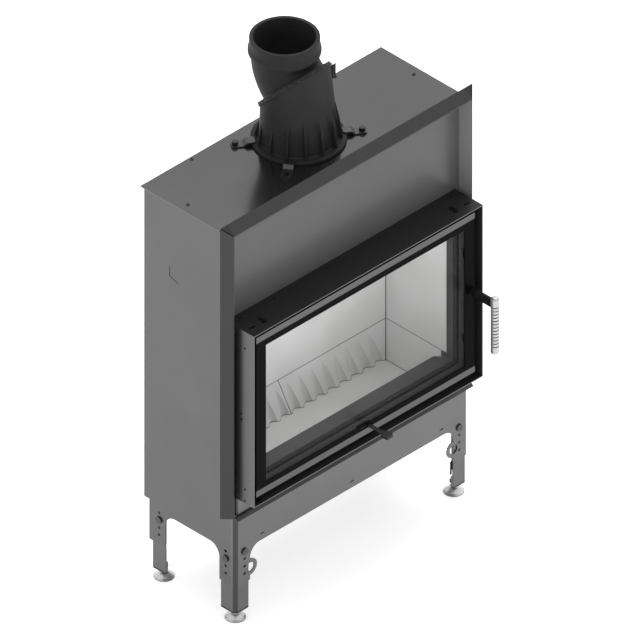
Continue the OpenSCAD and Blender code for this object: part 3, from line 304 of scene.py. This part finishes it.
# Corner bolts of the surround: two low black hexagon bolts behind each curved slot in its top,
# where the hinge bracket or its spare place on the other side is fixed.
BOLT_PLACES = [(0.375, -0.028), (0.375, -0.012)]
BOLT_R, WASHER_R, WASHER_T, BOLT_TOP, BOLT_LIFT, BOLT_CHAMFER = 0.0062, 0.00775, 0.0008, 0.005, 0.0002, 0.0008
surround_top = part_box("door_surround")[1][2]
verts, faces = [], []
for side in (-1, 1):
    for across, depth in BOLT_PLACES:
        place = at(side * across, FRONT + depth, surround_top + BOLT_LIFT)
        lathe(verts, faces, [(WASHER_R, 0), (WASHER_R, WASHER_T), (BOLT_R, WASHER_T + BOLT_LIFT)], place, 32)
        lathe(verts, faces, [(BOLT_R, WASHER_T), (BOLT_R, BOLT_TOP - BOLT_CHAMFER), (BOLT_R * 0.86, BOLT_TOP),
                             (TIP_R, BOLT_TOP)], place, 6)
add_piece("corner_bolts", verts, faces, black_coat, "casing")

# Door frame: black enamelled steel on its face, dark grey where it returns towards the pane,
# and black painted shade in the channel of the rope seal.
PANE_FACE, CHANNEL, CHANNEL_FADE, RETURN_X, RETURN_FADE = 0.0444, 0.0155, 0.001, 0.412, 0.002
ENAMEL_MM = 0.7


def door_paint():
    """Black on the face, black painted shade in the seal's channel, dark grey on the returns."""
    material, tree, shader, place = new_material("Black door enamel and grey returns")
    pane_y, channel_y = FRONT - PANE_FACE, FRONT - CHANNEL
    axes, across = axes_of(tree, place)
    behind = add_node(tree, "ShaderNodeMapRange", [axes["Y"], pane_y - FADE, pane_y, 0, 1])
    within = add_node(tree, "ShaderNodeMapRange", [across, RETURN_X, RETURN_X + RETURN_FADE, 1, 0])
    ahead = add_node(tree, "ShaderNodeMapRange", [axes["Y"], channel_y - CHANNEL_FADE, channel_y, 1, 0])
    returns = add_node(tree, "ShaderNodeMath", [behind, within], operation="MULTIPLY")
    inside = add_node(tree, "ShaderNodeMath", [returns, ahead], operation="MULTIPLY")
    # Past the channel's depth the black is painted shade.
    tones = {0: inside, 6: linear("#060606"), 7: linear("#3a3a3a")}
    grain = add_node(tree, "ShaderNodeTexNoise", {"Vector": place, "Scale": 1000 / ENAMEL_MM, "Detail": 3.0})
    gloss = add_node(tree, "ShaderNodeMapRange", [grain, 0.3, 0.7, 0.40, 0.52])
    peel = add_node(tree, "ShaderNodeBump", {"Height": grain, "Distance": 0.03 / 1000, "Strength": 0.3})
    set_inputs(tree, shader, {"Base Color": add_node(tree, "ShaderNodeMix", tones, 2, data_type="RGBA"),
                              "Specular IOR Level": 0.03, "Roughness": gloss, "Normal": peel})
    return material


dress(door_paint(), "door_frame")
soften(0.5, "door_frame")

# Door trims: two strips of stainless steel, ground lengthwise, so that the scratches run along x
# and draw the light out into long streaks. They are drawn coarser than real ones, so that they show.
# The hinge pins and the latch are plain satin steel.
BRUSH_LOW, BRUSH_HIGH = 0.07, 0.1


def brushed(name, light, dark, grain_mm, rough=0.34):
    """Ground or plated steel, whose grains have a length along each axis."""
    material, tree, shader, place = new_material(name)
    scale = [1000 / size for size in grain_mm]
    stretched = add_node(tree, "ShaderNodeMapping", {"Vector": place, "Scale": scale})
    lines = add_node(tree, "ShaderNodeTexNoise", {"Vector": stretched, "Scale": 1.0, "Detail": 4.0})
    shade = add_node(tree, "ShaderNodeMapRange", [lines, 0.3, 0.7, 0, 1])
    tone = add_node(tree, "ShaderNodeMix", {0: shade, 6: linear(dark), 7: linear(light)}, 2, data_type="RGBA")
    gloss = add_node(tree, "ShaderNodeMapRange", [lines, 0.3, 0.7, rough - BRUSH_LOW, rough + BRUSH_HIGH])
    scratches = add_node(tree, "ShaderNodeBump", {"Height": lines, "Distance": 0.02 / 1000, "Strength": 0.3})
    set_inputs(tree, shader, {"Base Color": tone, "Roughness": gloss, "Metallic": 1.0, "Normal": scratches})
    return material


trim_steel = brushed("Lengthwise brushed stainless", "#676767", "#515151", (83.3, 1.11, 0.4))
dress(trim_steel, "door_trims")
plain_steel = brushed("Satin plain steel", "#9a9a9a", "#7c7c7c", (1.43, 1.43, 16.7), rough=0.4)
dress(plain_steel, "hinge_pins", "latch_cam", "latch_keeper")

# Pane: clear ceramic glass, held in the door frame by black clips from behind.
# It is almost colourless, with a faint even haze that dims the lining behind it a little.
HAZE_MM = 300


def clear_pane():
    """Glass that lets nearly all light through."""
    material, tree, shader, place = new_material("Clear ceramic pane")
    haze = add_node(tree, "ShaderNodeTexNoise", {"Vector": place, "Scale": 1000 / HAZE_MM, "Detail": 2.0})
    tones = {0: haze, 6: linear("#2c2c2c"), 7: linear("#353535")}
    set_inputs(tree, shader, {"Base Color": add_node(tree, "ShaderNodeMix", tones, 2, data_type="RGBA"),
                              "Roughness": 0.05, "Alpha": 0.07})
    return material


dress(clear_pane(), "door_glass")
dress(black_coat, "glass_clips")

# Rope seal: black braided glass rope, pressed into a channel round the back of the door frame.
# Its strands cross every few millimetres and leave it fully matt. Wave bands lie pi / 10 apart at scale one.
STRAND_MM, STRAND_TURN = 3.49, 0.785


def rope():
    """Crossing strands with no shine."""
    material, tree, shader, place = new_material("Black braided glass rope")
    waves = []
    for turn in (STRAND_TURN, -STRAND_TURN):
        turned = add_node(tree, "ShaderNodeMapping", {"Vector": place, "Rotation": (0, turn, 0)})
        wave_inputs = {"Vector": turned, "Scale": math.pi * 100 / STRAND_MM, "Distortion": 0.6}
        waves.append(add_node(tree, "ShaderNodeTexWave", wave_inputs, "Fac"))
    strands = add_node(tree, "ShaderNodeMath", waves, operation="MULTIPLY")
    tones = {0: strands, 6: linear("#0b0b0b"), 7: linear("#1d1d1d")}
    relief = add_node(tree, "ShaderNodeBump", {"Height": strands, "Distance": 0.6 / 1000, "Strength": 0.8})
    set_inputs(tree, shader, {"Base Color": add_node(tree, "ShaderNodeMix", tones, 2, data_type="RGBA"),
                              "Roughness": 0.9, "Normal": relief})
    return material


dress(rope(), "door_seal")


# Painted shade on the sharp folds at the front corners of the skirt and the legs, and a darker band at the
# cut lower ends of the inner legs and on the turned rims of the feet.
def paint_over(material, zone, colour):
    """Mixes a colour over a material's own where a zone is one."""
    tree = material.node_tree
    coat = tree.nodes["Principled BSDF"].inputs["Base Color"]
    layers = {0: zone, 6: coat.links[0].from_socket, 7: linear(colour)}
    tree.links.new(add_node(tree, "ShaderNodeMix", layers, 2, data_type="RGBA"), coat)


def darken(material, colour, corner, cut, top):
    """Mixes a colour in below top, where |x| and y together are within cut of a corner, all in metres."""
    tree = material.node_tree
    axes, across = axes_of(tree, add_node(tree, "ShaderNodeTexCoord", output="Object"))
    inward = add_node(tree, "ShaderNodeMath", [axes["Y"], across], operation="SUBTRACT")
    away = add_node(tree, "ShaderNodeMath", [inward, corner[1] - corner[0]], operation="SUBTRACT")
    near = add_node(tree, "ShaderNodeMapRange", [away, cut, cut + BAND_FADE, 1, 0])
    below = add_node(tree, "ShaderNodeMapRange", [axes["Z"], top, top + BAND_FADE, 1, 0])
    paint_over(material, add_node(tree, "ShaderNodeMath", [near, below], operation="MULTIPLY"), colour)


FOLD_CUT, EVERYWHERE, END_BAND, RIM_BAND = 0.0103, 9.0, 0.005, 0.0025
skirt_low, skirt_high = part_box("base_skirt")
leg_low, leg_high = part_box("leg_front_right")
# The darker colour on the front folds of the skirt and the legs is painted shade.
for coat in (case_coat, shaded_side_coat):
    darken(coat, "#464646", (skirt_high[0], skirt_low[1]), FOLD_CUT, skirt_high[2])
darken(inner_coat, "#464646", (leg_high[0], leg_low[1]), FOLD_CUT, leg_high[2])
darken(inner_coat, "#303030", (0, 0), EVERYWHERE, leg_low[2] + END_BAND)

# Firebox front frame and sill, seen through the pane, and the shell behind the lining.
# They are welded steel in dark grey heat resistant paint, matt and slightly mottled.
fire_coat = coated_sheet("Heat resistant dark grey paint", "#464646", "#404040",
                         rough=0.6, grain_mm=1.2, depth_mm=0.06, shine=0.2)
dress(fire_coat, "front_frame", "hearth_sill", "firebox_shell")

# Lining: pale pressed firebrick slabs, sandy to the touch, with fine pits and faint clouds.
# The joints between the slabs, the back corners and the foot of the walls carry dark painted shade.
JOINT_FOOT_X, JOINT_LEAN, HALF_GAP, FOOT_RISE = 0.033, 20.6, 0.00015, 0.0012
LEAN_FADE, TOP_FADE = 0.0005, 0.0002
STAIN_MM, SAND_MM, PIT_MM = 120, 1.6, 6.25


def joint_shade_lines(tree, place):
    """One along the joints between the lining slabs, where shade is painted."""
    axes, across = axes_of(tree, place)
    joint_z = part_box("lining_back_lower_left")[1][2] + HALF_GAP
    floor_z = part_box("lining_floor")[1][2]
    back_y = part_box("lining_back_upper")[0][1]
    side_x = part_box("lining_right_upper")[0][0]
    beside, before = band(tree, across, side_x, 1.6), band(tree, axes["Y"], back_y, 1.6)
    rise = add_node(tree, "ShaderNodeMath", [axes["Z"], floor_z], operation="SUBTRACT")
    run = add_node(tree, "ShaderNodeMath", [rise, math.tan(math.radians(JOINT_LEAN))], operation="MULTIPLY")
    leaning = add_node(tree, "ShaderNodeMath", [axes["X"], run], operation="ADD")
    below = add_node(tree, "ShaderNodeMapRange", [axes["Z"], joint_z, joint_z + TOP_FADE, 1, 0])
    deep = add_node(tree, "ShaderNodeMapRange", [axes["Y"], back_y - 2 * LEAN_FADE, back_y - LEAN_FADE, 0, 1])
    lean = band(tree, leaning, JOINT_FOOT_X, 0.9)
    for zone in (below, deep):
        lean = add_node(tree, "ShaderNodeMath", [lean, zone], operation="MULTIPLY")
    corner = add_node(tree, "ShaderNodeMath", [beside, before], operation="MULTIPLY")
    foot = band(tree, axes["Z"], floor_z + FOOT_RISE)
    lines = band(tree, axes["Z"], joint_z, 0.9)
    for line in (corner, foot, lean):
        lines = add_node(tree, "ShaderNodeMath", [lines, line], operation="MAXIMUM")
    return lines


def firebrick():
    """Sandy and pitted, with painted shade in the joints."""
    material, tree, shader, place = new_material("Pale pressed firebrick")
    clouds = add_node(tree, "ShaderNodeTexNoise", {"Vector": place, "Scale": 1000 / STAIN_MM, "Detail": 5.0})
    sand = add_node(tree, "ShaderNodeTexNoise", {"Vector": place, "Scale": 1000 / SAND_MM, "Detail": 4.0})
    pits = add_node(tree, "ShaderNodeTexVoronoi", {"Vector": place, "Scale": 1000 / PIT_MM})
    faint = add_node(tree, "ShaderNodeMapRange", [clouds, 0.35, 0.65, 0, 1])
    worn = add_node(tree, "ShaderNodeMapRange", [pits, 0.0, 0.12, 0.25, 0])
    tone = linear("#cbcbca")
    # The dark joint colour is painted shade in the joints, corners and along the foot of the walls.
    for zone, colour in ((faint, "#d4d4d4"), (worn, "#a9a9a8"), (joint_shade_lines(tree, place), "#4a4846")):
        tone = add_node(tree, "ShaderNodeMix", {0: zone, 6: tone, 7: linear(colour)}, 2, data_type="RGBA")
    smooth = add_node(tree, "ShaderNodeMapRange", [pits, 0.0, 0.15, 0, 1])
    height = add_node(tree, "ShaderNodeMath", [sand, smooth], operation="MULTIPLY")
    relief = add_node(tree, "ShaderNodeBump", {"Height": height, "Distance": 0.3 / 1000, "Strength": 0.5})
    set_inputs(tree, shader, {"Base Color": tone, "Roughness": 0.92, "Normal": relief})
    return material


lining_names = [name for name in nodes if name.startswith("lining_")] + ["baffle"]
dress(firebrick(), *lining_names)
soften(1.5, *lining_names)

# Handle grip: turned light metal with ring grooves; the arm that carries it is flat black bar.
# The grooves carry dark painted shade.
GRIP_CAP, GROOVE_SPAN, GROOVE_R, GROOVE_FADE, GROOVE_EDGE_MM = 0.030, 12 * 0.011, 0.0112, 0.0006, 2.5
grip_metal = brushed("Turned light satin metal", "#c6c6c6", "#adadad", (3.33, 3.33, 0.714), rough=0.38)
grip_low, grip_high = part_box("handle_grip")
grip_tree = grip_metal.node_tree
grip_place = add_node(grip_tree, "ShaderNodeTexCoord", output="Object")
grip_axes = add_node(grip_tree, "ShaderNodeSeparateXYZ", [grip_place]).node.outputs
grip_squares = []
for i, axis in enumerate("XY"):
    grip_centre = (grip_low[i] + grip_high[i]) / 2
    offset = add_node(grip_tree, "ShaderNodeMath", [grip_axes[axis], grip_centre], operation="SUBTRACT")
    grip_squares.append(add_node(grip_tree, "ShaderNodeMath", [offset, offset], operation="MULTIPLY"))
grip_sum = add_node(grip_tree, "ShaderNodeMath", grip_squares, operation="ADD")
grip_radius = add_node(grip_tree, "ShaderNodeMath", [grip_sum], operation="SQRT")
in_depth = add_node(grip_tree, "ShaderNodeMapRange", [grip_radius, GROOVE_R, GROOVE_R + GROOVE_FADE, 1, 0])
groove_middle = grip_high[2] - GRIP_CAP - GROOVE_SPAN / 2
groove_zone = band(grip_tree, grip_axes["Z"], groove_middle, 1000 * GROOVE_SPAN / 2 + GROOVE_EDGE_MM)
in_groove = add_node(grip_tree, "ShaderNodeMath", [in_depth, groove_zone], operation="MULTIPLY")
# Painted shade in the ring grooves of the grip.
paint_over(grip_metal, in_groove, "#161616")
dress(grip_metal, "handle_grip")
soften(0.3, "handle_grip")

# Air lever: a flat steel bar in a dark grey coat, with a rounded paddle at its end.
# It slides sideways in its slot under the pane, and its coat is half matt.
lever_coat = coated_sheet("Dark lever coat", "#262626", "#202020", grain_mm=0.8, depth_mm=0.04, shine=0.25)
dress(lever_coat, "air_slide", "air_knob")
soften(1.0, "air_knob")

# Fixings: dark zinc plated screws and clamp bolts, grey zinc plated leg bolts, galvanised flue clamps
# and bright zinc plated feet. Real plating is finer than a pixel, so its grain is drawn 1 to 3 mm wide.
fixing_steel = brushed("Dark zinc plated steel", "#505050", "#3a3a3a", (1.25, 1.25, 1.25), rough=0.42)
dress(fixing_steel, "clamp_bolts", "case_screws")
bolt_grey = brushed("Grey zinc plated steel", "#5e5e5e", "#4c4c4c", (1.25, 1.25, 1.25), rough=0.4)
dress(bolt_grey, "leg_bolts")
strap_steel = brushed("Galvanised strap", "#5c5c5c", "#484848", (3.33, 3.33, 3.33), rough=0.42)
dress(strap_steel, "flue_clamps")
foot_steel = brushed("Bright zinc plated steel", "#dedede", "#cacaca", (2.5, 2.5, 2.5), rough=0.36)
feet = ["foot_front_left", "foot_front_right", "foot_back_left", "foot_back_right"]
darken(foot_steel, "#6f6f6f", (0, 0), EVERYWHERE, RIM_BAND)
dress(foot_steel, *feet)
soften(0.6, "flue_clamps", "clamp_bolts", "leg_bolts")

# Threads of the levelling studs: fine ridges that show between each foot's boss and its leg.
# One ridge per 1.75 mm, as on an M12 stud.
THREAD_PITCH, THREAD_COUNT, THREAD_START = 0.00175, 6, 0.0202
THREAD_ROOT_R, THREAD_R = 0.0061, 0.0066
for foot in feet:
    low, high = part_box(foot)
    middle = (low + high) / 2
    profile = []
    for i in range(THREAD_COUNT):
        z = THREAD_START + i * THREAD_PITCH
        profile += [(THREAD_ROOT_R, z), (THREAD_R, z + THREAD_PITCH / 2)]
    verts, faces = [], []
    lathe(verts, faces, profile, at(middle[0], middle[1], 0), 32)
    add_piece("thread_" + foot, verts, faces, foot_steel, foot)

# Drive sockets: hexagon recesses in the button heads on the top plate, shown as painted shade.
# Each is drawn as a thin black hexagon that sits a hair proud of the head.
socket_shade_black = coated_sheet("Black painted shade of the socket", "#0a0a0a", "#070707",
                            rough=0.7, grain_mm=0.8, depth_mm=0.04, shine=0.1)
SOCKET_R, SOCKET_RISE = 0.0022, 0.0001
SIDE_SCREW_IN, SIDE_SCREW_Y, BACK_SCREW_X, BACK_SCREW_Y = 0.029, 0.2051, 0.28182, 0.352
verts, faces = [], []
top_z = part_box("case_screws")[1][2]
side_screw_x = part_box("case_top")[1][0] - SIDE_SCREW_IN
for side in (1, -1):
    for x, y in ((side_screw_x, SIDE_SCREW_Y), (BACK_SCREW_X, BACK_SCREW_Y)):
        lathe(verts, faces, [(SOCKET_R, 0), (SOCKET_R * 0.8, SOCKET_RISE), (TIP_R, SOCKET_RISE)],
              at(side * x, FRONT + y, top_z), 6)
# These black hexagons are painted shade of the socket recesses.
add_piece("screw_sockets", verts, faces, socket_shade_black, "casing")

# Flue castings: sand cast iron in dark heat resistant paint, with a fine cast grain.
# The lower one flares from a round foot flange to the 45 degree cut, with fins that run out upwards
# and two lugs under the cut.
FADED_MM, CAST_MM = 60, 2.2


def cast_iron():
    """A sandy skin under matt paint that has faded in faint clouds."""
    material, tree, shader, place = new_material("Dark painted cast iron")
    sand = add_node(tree, "ShaderNodeTexNoise", {"Vector": place, "Scale": 1000 / CAST_MM, "Detail": 5.0})
    clouds = add_node(tree, "ShaderNodeTexNoise", {"Vector": place, "Scale": 1000 / FADED_MM, "Detail": 4.0})
    faint = add_node(tree, "ShaderNodeMapRange", [clouds, 0.35, 0.65, 0, 1])
    tones = {0: faint, 6: linear("#262626"), 7: linear("#2c2c2c")}
    gloss = add_node(tree, "ShaderNodeMapRange", [sand, 0.3, 0.7, 0.5, 0.68])
    relief = add_node(tree, "ShaderNodeBump", {"Height": sand, "Distance": 0.25 / 1000, "Strength": 0.5})
    set_inputs(tree, shader, {"Base Color": add_node(tree, "ShaderNodeMix", tones, 2, data_type="RGBA"),
                              "Roughness": gloss, "Specular IOR Level": 0.16, "Normal": relief})
    return material


def prism(vertices, faces, corners, offset):
    """Adds a solid between an outline and the same outline moved by offset."""
    start = len(vertices)
    count = len(corners)
    vertices.extend(Vector(c) for c in corners)
    vertices.extend(Vector(c) + Vector(offset) for c in corners)
    faces.append(tuple(start + i for i in range(count)))
    faces.append(tuple(start + count + i for i in reversed(range(count))))
    for i in range(count):
        j = (i + 1) % count
        faces.append((start + i, start + j, start + count + j, start + count + i))


def loft(vertices, faces, low, low_r, high, high_r, curved=False, steps=16, segments=128):
    """Adds a wall between two circles, each a matrix and a radius; a curved one leaves both squarely."""
    start = len(vertices)
    low_axis = (low.to_3x3() @ Vector((0, 0, 1))).normalized()
    high_axis = (high.to_3x3() @ Vector((0, 0, 1))).normalized()
    for step in range(steps + 1):
        t = step / steps
        for i in range(segments):
            turn = math.tau * i / segments
            spoke = Vector((math.cos(turn), math.sin(turn), 0))
            a, b = low @ (spoke * low_r), high @ (spoke * high_r)
            if not curved:
                vertices.append(a.lerp(b, t))
                continue
            reach = (b - a).length
            vertices.append(a * (2 * t ** 3 - 3 * t ** 2 + 1) + low_axis * reach * (t ** 3 - 2 * t ** 2 + t)
                            + b * (3 * t ** 2 - 2 * t ** 3) + high_axis * reach * (t ** 3 - t ** 2))
    for step in range(steps):
        for i in range(segments):
            a = start + step * segments
            j = (i + 1) % segments
            faces.append((a + i, a + j, a + segments + j, a + segments + i))


iron = cast_iron()
foot_low, foot_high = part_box("flue_base")
FLUE_Y = (foot_low[1] + foot_high[1]) / 2
SEAT = 0.0003
FOOT_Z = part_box("case_top")[1][2] + SEAT
RIM_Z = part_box("flue_outlet")[1][2]
BODY_R, CUT_R, FOOT_R, LOWER_FLANGE_R = 0.112, 0.114, 0.1345, 0.118
WALL, FOOT_T, CUT_T, HAIRLINE = 0.007, 0.009, 0.0065, 0.00001
CUT_BACK, CUT_DROP, INTO_CUT, INTO_FOOT = 0.016, 0.142, 0.0042, 0.0046
FOOT_BORE_R, SLEEVE_R, SLEEVE_DROP, LOWER_BORE_R, ARRIS, FILLET = 0.091, 0.098, 0.025, 0.106, 0.001, 0.003
cut_place = Matrix.Translation((0, FLUE_Y + CUT_BACK, RIM_Z - CUT_DROP))
cut_frame = cut_place @ Matrix.Rotation(math.radians(-45), 4, "X")
foot_frame = Matrix.Translation((0, FLUE_Y, FOOT_Z))
verts, faces = [], []
lathe(verts, faces, [(FOOT_BORE_R, 0), (FOOT_R - ARRIS, 0), (FOOT_R, ARRIS), (FOOT_R, FOOT_T - 1.5 * ARRIS),
                     (FOOT_R - 1.5 * ARRIS, FOOT_T), (BODY_R + FILLET, FOOT_T),
                     (BODY_R - ARRIS, FOOT_T + FILLET), (FOOT_BORE_R, FOOT_T)], foot_frame, 128, closed=True)
lathe(verts, faces, [(FOOT_BORE_R, -SLEEVE_DROP), (SLEEVE_R - ARRIS / 2, -SLEEVE_DROP),
                     (SLEEVE_R, ARRIS / 2 - SLEEVE_DROP), (SLEEVE_R, ARRIS), (FOOT_BORE_R, ARRIS)],
      foot_frame, 96, closed=True)
under = cut_frame @ Matrix.Translation((0, 0, -INTO_CUT))
above = foot_frame @ Matrix.Translation((0, 0, INTO_FOOT))
loft(verts, faces, above, BODY_R, under, CUT_R)
loft(verts, faces, above, BODY_R - WALL, under, CUT_R - WALL)
lathe(verts, faces, [(LOWER_BORE_R, -HAIRLINE), (LOWER_FLANGE_R - ARRIS / 5, -HAIRLINE),
                     (LOWER_FLANGE_R, -ARRIS / 5), (LOWER_FLANGE_R, ARRIS - CUT_T),
                     (LOWER_FLANGE_R - ARRIS, -CUT_T), (LOWER_BORE_R, -CUT_T)], cut_frame, 128, closed=True)
FIN_COUNT, FIN_TURN, FIN_T, FIN_REACH, FIN_ROOT, SHORT_FIN = 14, 16.1, 0.006, 0.011, 0.006, 0.62
FIN_FOOT, FIN_FADE, FIN_TOP, FIN_SINK, FIN_DRAFT, FIN_RUNOUT = 0.012, 0.074, 0.1, 0.001, 0.0008, 0.0005
for i in range(FIN_COUNT):
    turn = math.radians(FIN_TURN - 90 + i * 360 / FIN_COUNT)
    out = Vector((math.cos(turn), math.sin(turn), 0))
    side = Vector((-math.sin(turn), math.cos(turn), 0)) * FIN_T / 2
    base = Vector((0, FLUE_Y, FOOT_Z + FOOT_T - FIN_SINK))
    ends = [(BODY_R - FIN_ROOT, 0), (BODY_R + FIN_REACH, 0), (BODY_R + FIN_REACH - FIN_DRAFT, FIN_FOOT),
            (BODY_R + FIN_RUNOUT, FIN_FADE), (BODY_R - FIN_ROOT, FIN_TOP)]
    corners = [base + out * r + Vector((0, 0, z)) for r, z in ends]
    middle = cut_frame.inverted() @ corners[4]
    if middle[2] > -CUT_T:
        corners = [base + out * r + Vector((0, 0, z * SHORT_FIN)) for r, z in ends]
    prism(verts, faces, [c - side for c in corners], side * 2)
LUGS = [(0.1015, -0.032, 0.049, 0.013), (-0.1055, 0.022, 0.026, 0.012)]
LUG_T, LUG_DROP = 0.012, 0.004
for across, back, tall, wide in LUGS:
    top = RIM_Z - CUT_DROP - (back - CUT_BACK) - LUG_DROP
    corner = Vector((across - wide / 2, FLUE_Y + back - LUG_T / 2, top))
    prism(verts, faces, [corner, corner + Vector((wide, 0, 0)), corner + Vector((wide, LUG_T, -LUG_T)),
                         corner + Vector((0, LUG_T, -LUG_T))], (0, 0, -tall))
lower_casting = add_piece("flue_lower_casting", verts, faces, iron, "flue_lower")
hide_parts("flue_base")

# Upper casting: it turns on the cut and ends in a plain spigot for the pipe, above a raised bead.
# Its body narrows from the cut to the neck.
UPPER_R, NECK_R, UPPER_FLANGE_R, SPIGOT_R, BORE_R = 0.0955, 0.094, 0.116, 0.099, 0.0875
SPIGOT_BACK, NECK_DROP, CUT_BORE_R = 0.055, 0.067, 0.0876
neck_frame = Matrix.Translation((0, FLUE_Y + SPIGOT_BACK, RIM_Z))
verts, faces = [], []
over_cut = cut_frame @ Matrix.Translation((0, 0, INTO_CUT))
neck_low = neck_frame @ Matrix.Translation((0, 0, -NECK_DROP))
loft(verts, faces, over_cut, UPPER_R, neck_low, NECK_R, curved=True)
loft(verts, faces, over_cut, UPPER_R - WALL, neck_low, NECK_R - WALL, curved=True)
lathe(verts, faces, [(CUT_BORE_R, HAIRLINE), (UPPER_FLANGE_R - ARRIS / 5, HAIRLINE),
                     (UPPER_FLANGE_R, ARRIS / 5), (UPPER_FLANGE_R, CUT_T - ARRIS),
                     (UPPER_FLANGE_R - ARRIS, CUT_T), (UPPER_R + FILLET, CUT_T),
                     (UPPER_R - ARRIS, CUT_T + FILLET), (CUT_BORE_R, CUT_T)], cut_frame, 128, closed=True)
NECK_TOP, SPIGOT_FOOT, RIM_ROUND = 0.056, 0.029, 0.0012
RAISED_BEAD = [(0.0950, -0.0545), (0.1005, -0.0515), (0.1025, -0.0495), (0.1030, -0.0470), (0.1030, -0.0390),
               (0.1026, -0.0365), (0.1010, -0.0335), (0.0995, -0.0305)]
neck = [(BORE_R, -NECK_DROP), (NECK_R, -NECK_DROP), (NECK_R, -NECK_TOP)]
spigot = [(SPIGOT_R, -SPIGOT_FOOT), (SPIGOT_R, -RIM_ROUND), (SPIGOT_R - RIM_ROUND, 0),
          (BORE_R + RIM_ROUND, 0), (BORE_R, -RIM_ROUND)]
lathe(verts, faces, neck + RAISED_BEAD + spigot, neck_frame, 128, closed=True)
upper_casting = add_piece("flue_upper_casting", verts, faces, iron, "flue_upper")
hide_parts("flue_outlet")

# Stage: a plain pale floor that glows a little, soft daylight from all round, one soft key, two lights
# that lift the lining out of the door frame's shade, and a parallel camera at the photo's angle.
floor_mesh = bpy.data.meshes.new("floor")
FLOOR_HALF, FLOOR_Z = 12.0, -0.0005
floor_corners = [(x * FLOOR_HALF, y * FLOOR_HALF, FLOOR_Z) for x, y in ((-1, -1), (1, -1), (1, 1), (-1, 1))]
floor_mesh.from_pydata(floor_corners, [], [(0, 1, 2, 3)])
floor = bpy.data.objects.new("floor", floor_mesh)
bpy.context.scene.collection.objects.link(floor)
floor_paint, floor_tree, floor_shader, _ = new_material("Plain pale floor")
set_inputs(floor_tree, floor_shader, {"Base Color": linear("#f6f6f6"), "Roughness": 0.9,
                                      "Emission Color": (1, 1, 1, 1), "Emission Strength": 0.45})
floor_mesh.materials.append(floor_paint)

world = bpy.data.worlds.new("studio")
world.use_nodes = True
sky = world.node_tree.nodes["Background"]
heading = add_node(world.node_tree, "ShaderNodeTexCoord", output="Generated")
height = add_node(world.node_tree, "ShaderNodeSeparateXYZ", [heading], "Z")
dimming = add_node(world.node_tree, "ShaderNodeMapRange", [height, 0, 1, 1.0, 0.85])
set_inputs(world.node_tree, sky, {"Color": (1, 1, 1, 1), "Strength": dimming})
bpy.context.scene.world = world


AREA_SPREAD = 125


def add_light(name, kind, energy, towards, where=(0, 0, 3), size=1.0):
    """A sun or area light that shines along a direction."""
    data = bpy.data.lights.new(name, kind)
    data.energy = energy
    if kind == "SUN":
        data.angle = size
    else:
        data.shape = "RECTANGLE"
        data.size, data.size_y = size
        data.spread = math.radians(AREA_SPREAD)
    lamp = bpy.data.objects.new(name, data)
    lamp.location = where
    lamp.rotation_euler = Vector(towards).to_track_quat("-Z", "Y").to_euler()
    bpy.context.scene.collection.objects.link(lamp)


add_light("key", "SUN", 1.0, (-0.5, -0.25, -0.9), size=0.6)
add_light("hearth_front", "AREA", 0.18, (0, 1, -0.3), where=(0, FRONT - 0.02, 0.74), size=(0.74, 0.4))
add_light("hearth_top", "AREA", 1.0, (0, 0.35, -1), where=(0, FRONT + 0.06, 0.94), size=(0.74, 0.12))

PHOTO_PIXELS, PIXELS_PER_METRE = 640, 360.2
AIM_BACK, AIM_Z, CAMERA_AWAY = 0.13007, 0.7471, 6
camera_data = bpy.data.cameras.new("camera")
camera_data.type = "ORTHO"
camera_data.ortho_scale = PHOTO_PIXELS / PIXELS_PER_METRE
camera = bpy.data.objects.new("camera", camera_data)
look = Vector((1, 1, -1)).normalized()
camera.location = Vector((0, FRONT + AIM_BACK, AIM_Z)) - look * CAMERA_AWAY
camera.rotation_euler = look.to_track_quat("-Z", "Y").to_euler()
bpy.context.scene.collection.objects.link(camera)
bpy.context.scene.camera = camera
bpy.context.scene.view_settings.view_transform = "Standard"
